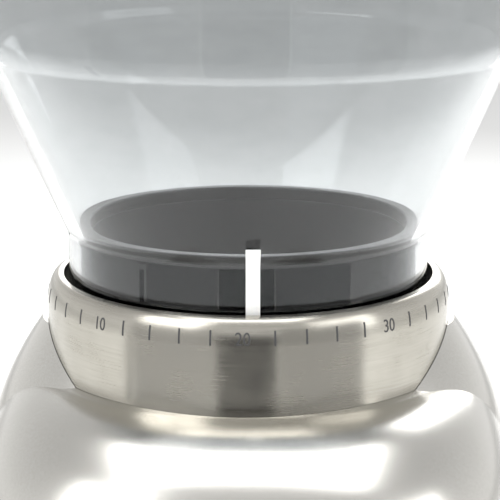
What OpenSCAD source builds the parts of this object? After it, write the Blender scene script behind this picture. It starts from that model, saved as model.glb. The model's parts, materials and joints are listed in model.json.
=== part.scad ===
// Conical burr coffee grinder. Millimetres, +Z up, front towards -Y.
// The origin is on the standing surface, midway between the front and the back of the base.
// Everything that turns with the burrs is centred on the grinding axis, a vertical line at y = axis_y.

/* [Body] */
// Width of the base and head
body_w = 120; // [114:1:150]
// Distance from the grinding axis to the front of the head
axis_to_front = 68; // [66:1:80]
// Distance from the grinding axis to the back of the body
axis_to_back = 92; // [90:1:112]
// Roundness of the body's outline: 2 is an ellipse, more is squarer
body_round = 3.2; // [2.6:0.1:4]
// Height of the rubber feet
foot_h = 4; // [3:0.5:8]
// Height of the base
base_h = 22; // [20:1:32]
// Clear height between the base and the head
bay_h = 122; // [114:1:150]
// Height of the plastic head shell
head_h = 38; // [37:1:48]
// Wall of the plastic shells
shell_wall = 2; // [1.6:0.1:2.6]
// Half-width of the motor column
column_half_w = 52; // [48:1:54]

/* [Top housing and dial] */
// Outer radius of the dial collar
collar_r = 46; // [46:0.5:48]
// Wall of the dial collar at its rim
collar_wall = 1.8; // [1.4:0.1:2]
// Height of the dial collar above its seat
collar_h = 31; // [29:1:36]
// Wall of the metal top housing
housing_wall = 2; // [1.5:0.1:2.5]
// How far the front deck meets the collar below its rim
deck_drop = 21.5; // [19:0.5:23]
// How far the side shoulders meet the collar below its rim
shoulder_drop = 11; // [9:0.5:14]

/* [Hopper] */
// Outer radius of the hopper's neck
neck_r = 41; // [40.5:0.1:41.2]
// Outer radius of the bowl
bowl_r = 60; // [54:0.5:60]
// Wall of the hopper
hopper_wall = 2.5; // [2:0.1:2.8]
// Height of the neck that shows above the collar
neck_h = 9.8; // [7:0.1:14]
// Slope of the hopper's cone from upright, in degrees
cone_angle = 24; // [20:1:30]
// Height of the straight upper wall of the bowl
bowl_h = 43.5; // [30:0.5:60]
// Width of the grind pointer
pointer_w = 3; // [2:0.1:4]
// Where the pointer stands at rest, in degrees from the middle of the scale
pointer_at = 2.8; // [-10:0.1:10]

/* [Burrs] */
// Outer radius of the ring burr
ring_burr_r = 26; // [25.5:0.1:26.4]
// Radius of the cone burr at its base
cone_burr_r = 19.4; // [18.5:0.1:19.6]
// Height of the cone burr
cone_burr_h = 19.8; // [17:0.1:21]
// Number of flutes on the cone burr
cone_flutes = 7; // [5:1:9]
// Inner radius of the grind chamber
chamber_r = 33; // [33:0.1:34]

/* [Drive] */
// Radius of the main shaft
shaft_r = 4; // [3.4:0.1:4.4]
// Teeth of the main gear
main_teeth = 48; // [42:1:48]
// Teeth of the small wheel that drives the main gear
lay_pinion_teeth = 16; // [15:1:16]
// Teeth of the large wheel of the intermediate gear
lay_wheel_teeth = 45; // [40:1:45]
// Teeth of the motor pinion
motor_pinion_teeth = 15; // [14:1:15]
// Module of the main gear pair
main_module = 1; // [0.95:0.05:1]
// Module of the motor gear pair
motor_module = 0.8; // [0.75:0.05:0.8]
// Outer radius of the motor
motor_r = 23; // [19:0.5:24]
// Length of the motor's can
motor_len = 76; // [70:1:82]

/* [Controls] */
// Radius of the timer knob
knob_r = 15; // [12:0.5:17]
// Depth of the timer knob
knob_depth = 7.4; // [5:0.2:7.6]
// Radius of the pulse button
button_r = 8; // [6:0.5:9]
// Travel of the pulse button
button_travel = 3; // [2:0.1:3]

/* [Grounds bin] */
// Half-width of the bin
bin_half_w = 46; // [40:1:48]
// Height of the bin
bin_h = 112; // [90:1:114]
// Wall of the bin
bin_wall = 2.2; // [1.8:0.1:3]

/* [Hidden] */
$fn = 96;
EPS = 0.02;          // overlap of a cutting tool past the face that it cuts
FIT = 0.02;          // radial clearance of pieces pressed or screwed together
RUN = 0.05;          // radial clearance of a running fit
GAP = 0.3;           // gap between pieces that move past each other
OUTLINE_N = 60;      // points round the body's outline

// Places that follow from the sizes above
axis_y = (axis_to_front - axis_to_back) / 2;
half_w = body_w / 2;
z_base = foot_h;
z_deck = z_base + base_h;
z_tray = z_deck + bay_h;
tray_t = 4;
z_gearbox = z_tray + tray_t;
gearbox_h = 32;
z_chamber = z_gearbox + gearbox_h;
z_head_top = z_tray + head_h;
chamber_h = 22;
flange_t = 3;
z_seat = z_chamber + chamber_h + flange_t;
z_rim = z_seat + collar_h;
z_cone = z_rim + neck_h;
cone_h = (bowl_r - neck_r) / tan(cone_angle);
z_bowl = z_cone + cone_h;
z_bowl_top = z_bowl + bowl_h;
cone_lean = hopper_wall * (1 / cos(cone_angle) - 1) / tan(cone_angle);
collar_in = collar_r - collar_wall;
roll_h = 6;
roll_out = 2.6;
roll_in = collar_in - neck_r - 1.3;
lid_flange_t = 3;
lid_dome_h = 3;
lid_knob_h = 8;

// Gear centres: the intermediate axle sits beside the line from the main shaft to the motor
main_gear_r = main_teeth * main_module / 2;
lay_pinion_r = lay_pinion_teeth * main_module / 2;
lay_wheel_r = lay_wheel_teeth * motor_module / 2;
motor_pinion_r = motor_pinion_teeth * motor_module / 2;
axis_to_motor = 48;
lay_reach = main_gear_r + lay_pinion_r;
motor_reach = lay_wheel_r + motor_pinion_r;
lay_dy = (lay_reach * lay_reach - motor_reach * motor_reach + axis_to_motor * axis_to_motor)
    / (2 * axis_to_motor);
lay_dx = sqrt(lay_reach * lay_reach - lay_dy * lay_dy);
motor_y = axis_y + axis_to_motor;
lay_xy = [lay_dx, axis_y + lay_dy];
backlash = 0.12;
z_lay_wheel = z_gearbox + 7;
lay_wheel_t = 7;
z_lay_pinion = z_lay_wheel + lay_wheel_t;
lay_pinion_t = 11;
z_main_gear = z_lay_pinion + 2;
main_gear_t = 8;
lay_axle_r = 2.5;
motor_shaft_r = 2.5;

// Gearbox outline
case_half_w = main_gear_r + 14;
case_front = main_gear_r + 9;
case_back = axis_to_motor + 17;
case_corner = 22;
case_wall = 2;
case_floor_t = 3;
cover_t = 3;
post_r = 4;
post_at = [for (y = [-8, axis_to_motor - 2]) for (s = [-1, 1]) [s * (case_half_w - 5), axis_y + y]];

// Burr carrier
carrier_r = chamber_r - GAP;
z_carrier = z_chamber + 9;
carrier_h = 15;
throat_r = 23.5;
rib_w = 7;
rib_depth = 5;
rib_top = z_carrier + 5;
spring_r = 2;
spring_mid_r = chamber_r - 2.4;
rib_angles = [90, 210, 330];
disc_t = 1.6;
z_disc = z_chamber + flange_t + 0.6;
z_burr = z_disc + disc_t;
nut_h = 4;

// Grounds chute and pulse button
chute_half_w = 10;
chute_front = axis_y - 50;
chute_wall = 2;
z_chute_end = z_tray - 5;
outlet_h = 8;
button_z = z_gearbox + 16;
button_flange_r = button_r + 1.5;
button_front = axis_y - axis_to_front + 0.2;
switch_front = chute_front - 3.8;

// Motor
can_wall = 2;
end_cap_t = 3;
damper_t = 3;
z_motor_top = z_gearbox - damper_t;
z_can_top = z_motor_top - end_cap_t;
z_can = z_can_top - motor_len;
z_motor = z_can - end_cap_t;
rotor_r = motor_r - can_wall - 3.6;
magnet_gap = 0.6;
core_h = motor_len - 28;
z_core = z_can + 16;
winding_h = 6;
fan_h = 7;
fan_r = motor_r - 3;

// Base
base_wall = 3;
plate_t = 3;
boss_at = [for (y = [-40, 42]) for (s = [-1, 1]) [s * (half_w - 22), y]];
foot_at = [for (y = [-54, 54]) for (s = [-1, 1]) [s * (half_w - 26), y]];
screw_r = 1.5;
head_r = 3;

// Timer and other pieces in the column
column_front = 2;
column_wall = shell_wall + 0.5;
panel_t = 2.5;
knob_y = axis_y + 36;
knob_z = z_deck + 70;
knob_boss_r = knob_r + 3;
timer_shaft_r = 3;
timer_inner_x = 26;
timer_outer_x = column_half_w - 7;
knob_gap = 0.6;
knob_cap_t = 2.7;
shaft_end = column_half_w + knob_gap + knob_depth - knob_cap_t;
gland_z = z_deck + 16;
gland_r = 6;
cord_hole_r = 3.4;

// Bin
bin_y = axis_y - 28;
bin_front = 36;
bin_back = 32;
bin_round = 3.5;
mat_t = 1.2;
z_bin = z_deck + mat_t + GAP;
bin_floor_t = 3;

// ---------- outlines ----------

// Radius of a rounded outline at angle t from the front, with half-width a, reach f forward and b back
function outline_r(t, a, f, b, n) =
    pow(pow(abs(sin(t)) / a, n) + pow(abs(cos(t)) / (cos(t) > 0 ? f : b), n), -1 / n);

// Points of that outline, anticlockwise from the front
function outline(a, f, b, n = body_round) =
    [for (i = [0:OUTLINE_N - 1]) let (t = 360 * i / OUTLINE_N, r = outline_r(t, a, f, b, n))
        [r * sin(t), -r * cos(t)]];

// The body's outline drawn in by a margin, about the grinding axis
module body_outline(margin = 0) {
    translate([0, axis_y])
        polygon(outline(half_w - margin, axis_to_front - margin, axis_to_back - margin));
}

// A slab of the body's outline
module body_slab(z0, z1, margin = 0) {
    translate([0, 0, z0]) linear_extrude(z1 - z0) body_outline(margin);
}

// The motor column's outline drawn in by a margin, behind the bay panel
module column_outline(margin = 0, front = column_front) {
    intersection() {
        translate([0, axis_y])
            polygon(outline(column_half_w - margin, axis_to_front, axis_to_back - margin));
        translate([-half_w, front]) square([body_w, axis_to_back * 2]);
    }
}

module bin_outline(margin = 0) {
    translate([0, bin_y])
        polygon(outline(bin_half_w - margin, bin_front - margin, bin_back - margin, bin_round));
}

// A rounded rectangle from y0 to y1
module rounded(half, y0, y1, r) {
    translate([-half + r, y0]) square([2 * (half - r), y1 - y0]);
    translate([-half, y0 + r]) square([2 * half, y1 - y0 - 2 * r]);
    for (x = [-half + r, half - r], y = [y0 + r, y1 - r]) translate([x, y]) circle(r);
}

module tube(r_out, r_in, z0, z1) {
    translate([0, 0, z0]) difference() {
        cylinder(r = r_out, h = z1 - z0);
        translate([0, 0, -EPS]) cylinder(r = r_in, h = z1 - z0 + 2 * EPS);
    }
}

module at_axis() { translate([0, axis_y, 0]) children(); }
module at_motor() { translate([0, motor_y, 0]) children(); }
module at_lay() { translate([lay_xy[0], lay_xy[1], 0]) children(); }

// ---------- gears ----------

PRESSURE = 20;
function involute(angle) = tan(angle) * 180 / PI - angle;

// Half the angle that a tooth covers at radius r
function tooth_half(r, teeth, m, slack) =
    let (rp = teeth * m / 2, rb = rp * cos(PRESSURE), at = r <= rb ? 0 : acos(rb / r))
    90 / teeth - slack / rp * 90 / PI + involute(PRESSURE) - involute(at);

// Outline of a spur gear with a tooth centred on the X axis
function gear_points(teeth, m, slack) =
    let (rp = teeth * m / 2, root = rp - 1.25 * m, tip = rp + m, base = rp * cos(PRESSURE),
         start = max(base, root + 0.05),
         radii = [root, start, (start + rp) / 2, rp, (rp + tip) / 2, tip])
    [for (i = [0:teeth - 1], s = [-1, 1], k = [0:len(radii) - 1])
        let (r = radii[s < 0 ? k : len(radii) - 1 - k],
             a = 360 * i / teeth + s * tooth_half(r, teeth, m, slack))
        [r * cos(a), r * sin(a)]];

module gear(teeth, m, z0, thick, turn) {
    translate([0, 0, z0]) rotate([0, 0, turn])
        linear_extrude(thick) polygon(gear_points(teeth, m, backlash * m));
}

// Directions in which the teeth of each pair meet
to_lay = atan2(lay_xy[1] - axis_y, lay_xy[0]);
to_motor = atan2(motor_y - lay_xy[1], -lay_xy[0]);

// ---------- top housing ----------

// The front deck falls from deck_r at the collar to the body's outline in a rounded curve, and the side
// shoulders do so from higher up. The outline at each height is the wider of the two.
z_deck_top = z_rim - deck_drop;
z_shoulder_top = z_rim - shoulder_drop;
deck_h = 22.5;
shoulder_h = 32;
deck_bulge = 1.7;
shoulder_bulge = 1.9;
deck_r = collar_r + 1;
HOUSING_N = 48;
HOUSING_STEP = 3;

function clamp01(v) = max(0, min(1, v));
function mix(a, b, u) = a + (b - a) * u;

function deck_rho(t, z) =
    let (d = z_deck_top - z,
         u = pow(1 - pow(1 - clamp01(d / deck_h), deck_bulge), 1 / deck_bulge),
         inside = 3 * min(0, d))
    outline_r(t, mix(deck_r, half_w, u) + inside, mix(deck_r, axis_to_front, u) + inside,
        mix(deck_r, axis_to_back, u) + inside, mix(2.2, body_round, u));

function shoulder_rho(t, z) =
    let (d = clamp01((z_shoulder_top - z) / shoulder_h), u = 1 - pow(1 - d, shoulder_bulge))
    outline_r(t, mix(collar_r + 1.5, half_w, u), mix(collar_r - 18, collar_r + 4, d),
        mix(collar_r + 4, axis_to_back, u), mix(2, 2.6, u));

function housing_rho(t, z) = max(deck_rho(t, z), shoulder_rho(t, z));

function housing_ring(z, rise, margin) =
    [for (i = [0:HOUSING_N - 1]) let (t = 360 * i / HOUSING_N, r = housing_rho(t, z + rise) - margin)
        [r * sin(t), axis_y - r * cos(t), z]];

module top_housing() {
    k = HOUSING_N;
    levels = ceil((z_shoulder_top - z_head_top) / HOUSING_STEP);
    outer = [for (j = [0:levels]) mix(z_head_top, z_shoulder_top, j / levels)];
    inner = [for (j = [0:levels]) mix(z_head_top, z_shoulder_top - housing_wall, j / levels)];
    rings = [
        for (z = outer) each housing_ring(z, 0, 0),
        for (z = inner) each housing_ring(z, housing_wall, housing_wall),
        [0, axis_y, z_shoulder_top], [0, axis_y, z_shoulder_top - housing_wall]];
    m = (levels + 1) * k;
    tip = 2 * m;
    faces = [
        for (j = [0:levels - 1], i = [0:k - 1]) let (n = (i + 1) % k, a = j * k, b = a + k) each [
            [a + i, b + i, b + n], [a + i, b + n, a + n],
            [m + a + i, m + b + n, m + b + i], [m + a + i, m + a + n, m + b + n]],
        for (i = [0:k - 1]) let (n = (i + 1) % k, a = levels * k) each [
            [tip, a + n, a + i], [tip + 1, m + a + i, m + a + n],
            [i, n, m + n], [i, m + n, m + i]]];
    color("silver") difference() {
        polyhedron(rings, faces, convexity = 6);
        at_axis() translate([0, 0, z_head_top]) cylinder(r = collar_r + 0.1, h = z_rim - z_head_top);
    }
}

// ---------- base ----------

module feet() {
    color("#222222") for (p = foot_at) translate([p[0], p[1], 0]) {
        cylinder(r = 8, h = foot_h);
        translate([0, 0, foot_h - EPS]) cylinder(r = 3, h = plate_t);
    }
}

module base_plate() {
    color("#333333") difference() {
        body_slab(z_base, z_base + plate_t, base_wall + 0.2);
        for (p = foot_at) translate([p[0], p[1], z_base - 1]) cylinder(r = 3 + FIT, h = plate_t + 2);
        for (p = boss_at) translate([p[0], p[1], z_base - 1]) {
            cylinder(r = screw_r + 0.2, h = plate_t + 2);
            cylinder(r = head_r + 0.2, h = 1 + 1.8);
        }
    }
}

module base_screws() {
    color("silver") for (p = boss_at) translate([p[0], p[1], z_base + 0.2]) {
        cylinder(r = head_r, h = 1.5);
        cylinder(r = screw_r, h = 14);
    }
}

module base_shell() {
    color("#c8c8c6") difference() {
        union() {
            difference() {
                body_slab(z_base, z_deck);
                body_slab(z_base - 1, z_deck - base_wall, base_wall);
            }
            for (p = boss_at) translate([p[0], p[1], z_base + plate_t])
                cylinder(r = 4, h = base_h - plate_t - 1);
        }
        for (p = boss_at) translate([p[0], p[1], z_base]) cylinder(r = screw_r + FIT, h = 15);
        translate([0, motor_y - 20, z_deck - base_wall - 1]) cylinder(r = 6, h = base_wall + 2);
    }
}

module ballast_plate() {
    color("#777777") translate([0, 0, z_base + plate_t + 1])
        linear_extrude(8) rounded(30, -60, 10, 10);
}

module bin_mat() {
    color("#2a2a2a") translate([0, 0, z_deck]) linear_extrude(mat_t) bin_outline(2);
}

// ---------- column ----------

module rear_housing() {
    color("#1e1e20") difference() {
        union() {
            translate([0, 0, z_deck]) linear_extrude(bay_h) difference() {
                column_outline();
                column_outline(column_wall, column_front - 1);
            }
            translate([timer_outer_x + 0.5, knob_y, knob_z]) rotate([0, 90, 0])
                cylinder(r = knob_boss_r, h = column_half_w - timer_outer_x - 0.5);
        }
        translate([timer_outer_x - 1, knob_y, knob_z]) rotate([0, 90, 0])
            cylinder(r = timer_shaft_r + GAP, h = 20);
        translate([0, motor_y, gland_z]) rotate([-90, 0, 0]) cylinder(r = gland_r + FIT, h = 60);
    }
}

module bay_panel() {
    color("#26262a") translate([0, 0, z_deck]) linear_extrude(bay_h) intersection() {
        translate([-half_w, column_front - panel_t]) square([body_w, panel_t]);
        translate([0, axis_y]) polygon(outline(column_half_w, axis_to_front, axis_to_back));
    }
}

module cord_gland() {
    y_out = axis_y + axis_to_back;
    color("#151515") translate([0, y_out - 5, gland_z]) rotate([-90, 0, 0]) difference() {
        union() {
            cylinder(r = gland_r, h = 5);
            translate([0, 0, -1.4]) cylinder(r = gland_r + 2, h = 3.4);
        }
        translate([0, 0, -3]) cylinder(r = cord_hole_r, h = 12);
        translate([0, 0, 2]) cylinder(r1 = cord_hole_r, r2 = cord_hole_r + 1, h = 4);
    }
}

module circuit_board() {
    y0 = motor_y + motor_r + 4.5;
    color("#1f5a34") {
        translate([-24, y0, z_deck + 54]) cube([48, 1.6, 50]);
        translate([-18, y0 + 1.6 - EPS, z_deck + 60]) cube([12, 7, 14]);
        translate([4, y0 + 1.6 - EPS, z_deck + 62]) cube([14, 5, 10]);
        translate([-8, y0 + 1.6 - EPS, z_deck + 84]) cube([16, 4, 12]);
    }
}

module thermal_cutout() {
    color("#b8a070") translate([-6, motor_y - motor_r - 6.5, z_deck + 74]) cube([12, 6, 16]);
}

module timer_body() {
    color("#d8d4c8") translate([timer_inner_x, knob_y - 12, knob_z - 12])
        cube([timer_outer_x - timer_inner_x, 24, 24]);
}

module timer_shaft() {
    color("silver") translate([timer_outer_x + GAP, knob_y, knob_z]) rotate([0, 90, 0])
        cylinder(r = timer_shaft_r, h = shaft_end - timer_outer_x - GAP);
}

module timer_knob() {
    x0 = column_half_w + knob_gap;
    color("#2b2b2e") difference() {
        translate([x0, knob_y, knob_z]) rotate([0, 90, 0]) union() {
            cylinder(r = knob_r, h = knob_depth - 1);
            translate([0, 0, knob_depth - 1 - EPS]) cylinder(r = knob_r - 1, h = 1 + EPS);
        }
        translate([x0 - 1, knob_y, knob_z]) rotate([0, 90, 0])
            cylinder(r = timer_shaft_r + FIT, h = shaft_end - x0 + 1);
        for (a = [0:20:340]) translate([x0, knob_y, knob_z]) rotate([a, 0, 0])
            translate([-1, knob_r + 0.2, 0]) rotate([0, 90, 0]) cylinder(r = 0.9, h = knob_depth + 2);
    }
}

// ---------- head ----------

module head_tray() {
    color("#232325") difference() {
        body_slab(z_tray, z_gearbox, shell_wall + 0.1);
        translate([-chute_half_w - 0.1, chute_front - 0.1, z_tray - 1])
            cube([2 * chute_half_w + 0.2, 14.2, tray_t + 2]);
        at_motor() translate([0, 0, z_tray - 1]) cylinder(r = motor_r + 1.5, h = tray_t + 2);
    }
}

module head_shell() {
    color("#1e1e20") difference() {
        body_slab(z_tray, z_head_top);
        body_slab(z_tray - 1, z_head_top + 1, shell_wall);
        translate([0, button_front - 2, button_z]) rotate([-90, 0, 0])
            cylinder(r = button_r + GAP, h = 8);
    }
}

// A straight band whose top edge rolls inwards to the rim
module dial_collar() {
    color("#b9b6ae") at_axis() rotate_extrude() polygon([
        [collar_in, z_seat], [collar_r, z_seat],
        for (a = [0:15:90]) [collar_r - roll_out * (1 - cos(a)), z_rim - roll_h + roll_h * sin(a)],
        for (a = [90:-15:0]) [collar_in - roll_in * (1 - cos(a)), z_rim - roll_h + roll_h * sin(a)]]);
}

// ---------- gearbox ----------

module case_outline(margin) {
    translate([0, axis_y]) rounded(case_half_w - margin, -case_front + margin, case_back - margin,
        case_corner - margin);
}

module gearbox_case() {
    z1 = z_chamber - cover_t;
    color("#3a3a3c") difference() {
        union() {
            difference() {
                translate([0, 0, z_gearbox]) linear_extrude(z1 - z_gearbox) case_outline(0);
                translate([0, 0, z_gearbox + case_floor_t]) linear_extrude(gearbox_h) case_outline(case_wall);
            }
            for (p = post_at) translate([p[0], p[1], z_gearbox + 1])
                cylinder(r = post_r, h = z1 - z_gearbox - 1);
            at_axis() translate([0, 0, z_gearbox + 1]) cylinder(r = 10, h = 7);
            at_lay() translate([0, 0, z_gearbox + 1]) cylinder(r = 5, h = 5);
        }
        for (p = post_at) translate([p[0], p[1], z1 - 12]) cylinder(r = screw_r + FIT, h = 20);
        at_axis() translate([0, 0, z_gearbox + 1]) cylinder(r = 7 + FIT, h = 20);
        at_lay() translate([0, 0, z_gearbox + 1.5]) cylinder(r = lay_axle_r + FIT, h = 20);
        at_motor() translate([0, 0, z_gearbox - 1]) cylinder(r = 5, h = 10);
    }
}

module gearbox_cover() {
    z0 = z_chamber - cover_t;
    color("#3a3a3c") difference() {
        translate([0, 0, z0]) linear_extrude(cover_t) case_outline(0);
        at_axis() translate([0, 0, z0 - 1]) cylinder(r = 9 + FIT, h = cover_t + 2);
        at_lay() translate([0, 0, z0 - 1]) cylinder(r = lay_axle_r + FIT, h = cover_t);
        for (p = post_at) translate([p[0], p[1], z0 - 1]) {
            cylinder(r = screw_r + 0.2, h = cover_t + 2);
            translate([0, 0, 1 + cover_t - 1.6]) cylinder(r = head_r + 0.1, h = 3);
        }
    }
}

module gearbox_screws() {
    color("silver") for (p = post_at) translate([p[0], p[1], z_chamber]) {
        translate([0, 0, -1.6]) cylinder(r = head_r, h = 1.5);
        translate([0, 0, -13]) cylinder(r = screw_r, h = 12);
    }
}

module lower_bearing() {
    color("#b08d57") at_axis() tube(7, shaft_r + RUN, z_gearbox + 1, z_gearbox + 8);
}

module upper_bearing() {
    color("#b08d57") at_axis() tube(9, shaft_r + RUN, z_chamber - cover_t, z_chamber + flange_t);
}

module intermediate_axle() {
    color("silver") at_lay() translate([0, 0, z_gearbox + 1.5])
        cylinder(r = lay_axle_r, h = gearbox_h - 1.5 - 1.2);
}

module intermediate_gear() {
    color("#e8e4d4") at_lay() difference() {
        union() {
            gear(lay_wheel_teeth, motor_module, z_lay_wheel, lay_wheel_t, to_motor);
            gear(lay_pinion_teeth, main_module, z_lay_pinion, lay_pinion_t,
                to_lay + 180 + 180 / lay_pinion_teeth);
        }
        translate([0, 0, z_gearbox]) cylinder(r = lay_axle_r + RUN, h = gearbox_h);
    }
}

module main_gear() {
    color("#e8e4d4") at_axis() difference() {
        union() {
            gear(main_teeth, main_module, z_main_gear, main_gear_t, to_lay);
            translate([0, 0, z_main_gear - 6]) cylinder(r = 8, h = 6 + EPS);
        }
        translate([0, 0, z_gearbox]) cylinder(r = shaft_r + FIT, h = gearbox_h);
    }
}

// ---------- grind chamber and burrs ----------

module grind_chamber() {
    z_top = z_seat - flange_t;
    color("#4a4a4c") difference() {
        union() {
            at_axis() difference() {
                translate([0, 0, z_chamber]) cylinder(r = chamber_r + 3, h = z_top - z_chamber + EPS);
                translate([0, 0, z_chamber + flange_t]) cylinder(r = chamber_r, h = 60);
            }
            at_axis() tube(collar_r, chamber_r, z_top, z_seat);
            at_axis() intersection() {
                tube(chamber_r + 1, chamber_r - rib_depth, z_carrier - 0.8, rib_top);
                for (a = rib_angles) rotate([0, 0, a])
                    translate([0, -rib_w / 2, z_chamber]) cube([chamber_r + 2, rib_w, 60]);
            }
        }
        at_axis() translate([0, 0, z_chamber - 1]) cylinder(r = 9 + FIT, h = 10);
        translate([-chute_half_w + chute_wall, axis_y - chamber_r - 5, z_chamber + flange_t])
            cube([2 * (chute_half_w - chute_wall), 8, outlet_h]);
    }
}

module grounds_chute() {
    y1 = axis_y - chamber_r - 3.4;
    z1 = z_chamber + flange_t + outlet_h + 2;
    color("#2c2c2e") difference() {
        translate([-chute_half_w, chute_front, z_chute_end])
            cube([2 * chute_half_w, y1 - chute_front, z1 - z_chute_end]);
        translate([-chute_half_w + chute_wall, chute_front + chute_wall, z_chute_end - 1])
            cube([2 * (chute_half_w - chute_wall), y1 - chute_front - 2 * chute_wall,
                z1 - z_chute_end + 1 - chute_wall]);
        translate([-chute_half_w + chute_wall, y1 - 4, z_chamber + flange_t])
            cube([2 * (chute_half_w - chute_wall), 8, outlet_h]);
    }
}

module burr_carrier() {
    z1 = z_carrier + carrier_h;
    color("#303033") at_axis() difference() {
        translate([0, 0, z_carrier]) cylinder(r = carrier_r, h = carrier_h);
        translate([0, 0, z_carrier - 1]) cylinder(r = ring_burr_r + FIT, h = carrier_h - 2 + 1);
        translate([0, 0, z1 - 3]) cylinder(r1 = throat_r - 1, r2 = throat_r + 3, h = 4);
        for (a = rib_angles) rotate([0, 0, a])
            translate([chamber_r - rib_depth - GAP, -rib_w / 2 - GAP, z_carrier - 1])
                cube([rib_depth + 3, rib_w + 2 * GAP, carrier_h - 3 + 1]);
    }
}

module carrier_springs() {
    color("silver") at_axis() for (a = rib_angles) rotate([0, 0, a])
        translate([spring_mid_r, 0, 0]) tube(spring_r, spring_r - 0.6, rib_top, z_carrier + carrier_h - 3);
}

module ring_burr() {
    h = carrier_h - 2;
    color("#8b8d90") at_axis() translate([0, 0, z_carrier]) difference() {
        cylinder(r = ring_burr_r, h = h);
        translate([0, 0, -EPS]) rotate_extrude() polygon([
            [0, 0], [cone_burr_r + 0.3, 0], [cone_burr_r + 1.1, 6], [throat_r, h + 2 * EPS],
            [0, h + 2 * EPS]]);
        for (i = [0:11]) rotate([0, 0, i * 30]) translate([cone_burr_r + 0.4, -0.8, 5])
            rotate([0, 16, 0]) cube([2.2, 1.6, h]);
    }
}

module cone_burr() {
    color("#8b8d90") at_axis() translate([0, 0, z_burr]) difference() {
        rotate_extrude() polygon([
            [0, 0], [cone_burr_r, 0], [cone_burr_r, 2], [cone_burr_r - 2, 10],
            [shaft_r + 4, cone_burr_h], [0, cone_burr_h]]);
        for (i = [0:cone_flutes - 1]) rotate([0, 0, i * 360 / cone_flutes])
            translate([cone_burr_r - 5, -1.5, 7]) rotate([14, -42, 0]) cube([4, 3, 26]);
        translate([0, 0, -1]) cylinder(r = shaft_r + FIT, h = cone_burr_h + 2);
    }
}

module burr_nut() {
    z0 = z_burr + cone_burr_h;
    color("silver") at_axis() difference() {
        translate([0, 0, z0]) cylinder(r = shaft_r + 3, h = nut_h + 1, $fn = 6);
        translate([0, 0, z0 - 1]) cylinder(r = shaft_r + FIT, h = nut_h + 1);
    }
}

module main_shaft() {
    z0 = z_gearbox + 1.3;
    color("silver") at_axis() translate([0, 0, z0])
        cylinder(r = shaft_r, h = z_burr + cone_burr_h + nut_h - 0.4 - z0);
}

module paddle_wheel() {
    r = chamber_r - 0.6;
    color("#d9d6cc") at_axis() difference() {
        union() {
            translate([0, 0, z_disc]) cylinder(r = r, h = disc_t);
            intersection() {
                tube(r, cone_burr_r + 1.6, z_disc, z_disc + disc_t + 2.3);
                for (a = [0:60:300]) rotate([0, 0, a])
                    translate([0, -1, z_disc]) cube([r + 1, 2, 10]);
            }
        }
        translate([0, 0, z_disc - 1]) cylinder(r = shaft_r + FIT, h = disc_t + 2);
    }
}

// ---------- motor ----------

module motor_can() {
    color("#9a9c9e") at_motor() tube(motor_r, motor_r - can_wall, z_can, z_can_top);
}

module motor_end_caps() {
    color("#8c8e90") at_motor() for (z = [z_motor, z_can_top])
        tube(motor_r, 5 + FIT, z, z + end_cap_t);
}

module motor_bushes() {
    color("#b08d57") at_motor() for (z = [z_motor, z_can_top])
        tube(5, motor_shaft_r + RUN, z, z + end_cap_t);
}

module motor_magnets() {
    r0 = rotor_r + magnet_gap;
    r1 = motor_r - can_wall - 0.1;
    color("#4c4c50") at_motor() for (a = [20, 200]) rotate([0, 0, a])
        translate([0, 0, z_core]) rotate_extrude(angle = 140) translate([r0, 0]) square([r1 - r0, core_h]);
}

module carbon_brushes() {
    color("#3c3a38") at_motor() for (s = [-1, 1]) translate([s > 0 ? 7.2 : -motor_r + can_wall + 1, -2.5, z_can + 5])
        cube([motor_r - can_wall - 8.2, 5, 4]);
}

module motor_damper() {
    color("#202020") at_motor() tube(motor_r - 3, 8, z_motor_top, z_gearbox);
}

module rotor_shaft() {
    z0 = z_motor - fan_h - 5;
    color("silver") at_motor() translate([0, 0, z0])
        cylinder(r = motor_shaft_r, h = z_lay_pinion + 1 - z0);
}

module motor_pinion() {
    color("#b08d57") at_motor() difference() {
        gear(motor_pinion_teeth, motor_module, z_lay_wheel - 1, lay_wheel_t + 1.5,
            to_motor + 180 + 180 / motor_pinion_teeth);
        translate([0, 0, z_gearbox]) cylinder(r = motor_shaft_r + FIT, h = gearbox_h);
    }
}

module rotor_core() {
    color("#707275") at_motor() difference() {
        translate([0, 0, z_core]) cylinder(r = rotor_r, h = core_h);
        translate([0, 0, z_core - 1]) cylinder(r = motor_shaft_r + FIT, h = core_h + 2);
        for (a = [0:36:324]) rotate([0, 0, a]) translate([rotor_r - 6, -1.2, z_core - 1])
            cube([8, 2.4, core_h + 2]);
    }
}

module rotor_windings() {
    color("#b5602c") at_motor() for (z = [z_core - winding_h, z_core + core_h])
        tube(rotor_r - 2, motor_shaft_r + 3.5, z, z + winding_h);
}

module commutator() {
    color("#b87333") at_motor() tube(7, motor_shaft_r + FIT, z_can + 3, z_core - winding_h - 0.5);
}

module cooling_fan() {
    z0 = z_motor - fan_h - 2.5;
    color("#2a2a2a") at_motor() difference() {
        union() {
            translate([0, 0, z0]) cylinder(r = 6, h = fan_h);
            for (a = [0:45:315]) rotate([0, 0, a]) translate([5, -0.8, z0]) cube([fan_r - 5, 1.6, fan_h]);
        }
        translate([0, 0, z0 - 1]) cylinder(r = motor_shaft_r + FIT, h = fan_h + 2);
    }
}

// ---------- pulse button ----------

module pulse_button() {
    color("#c9c9c7") translate([0, button_front, button_z]) rotate([-90, 0, 0]) {
        cylinder(r = button_r, h = 4);
        translate([0, 0, shell_wall + 0.3]) cylinder(r = button_flange_r, h = 1.6);
        cylinder(r = 2.5, h = switch_front - button_front - button_travel - GAP);
    }
}

module button_spring() {
    y0 = button_front + 4.1;
    color("silver") translate([0, y0, button_z]) rotate([-90, 0, 0])
        difference() {
            cylinder(r = 4.2, h = switch_front - y0);
            translate([0, 0, -1]) cylinder(r = 3.5, h = 30);
        }
}

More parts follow.
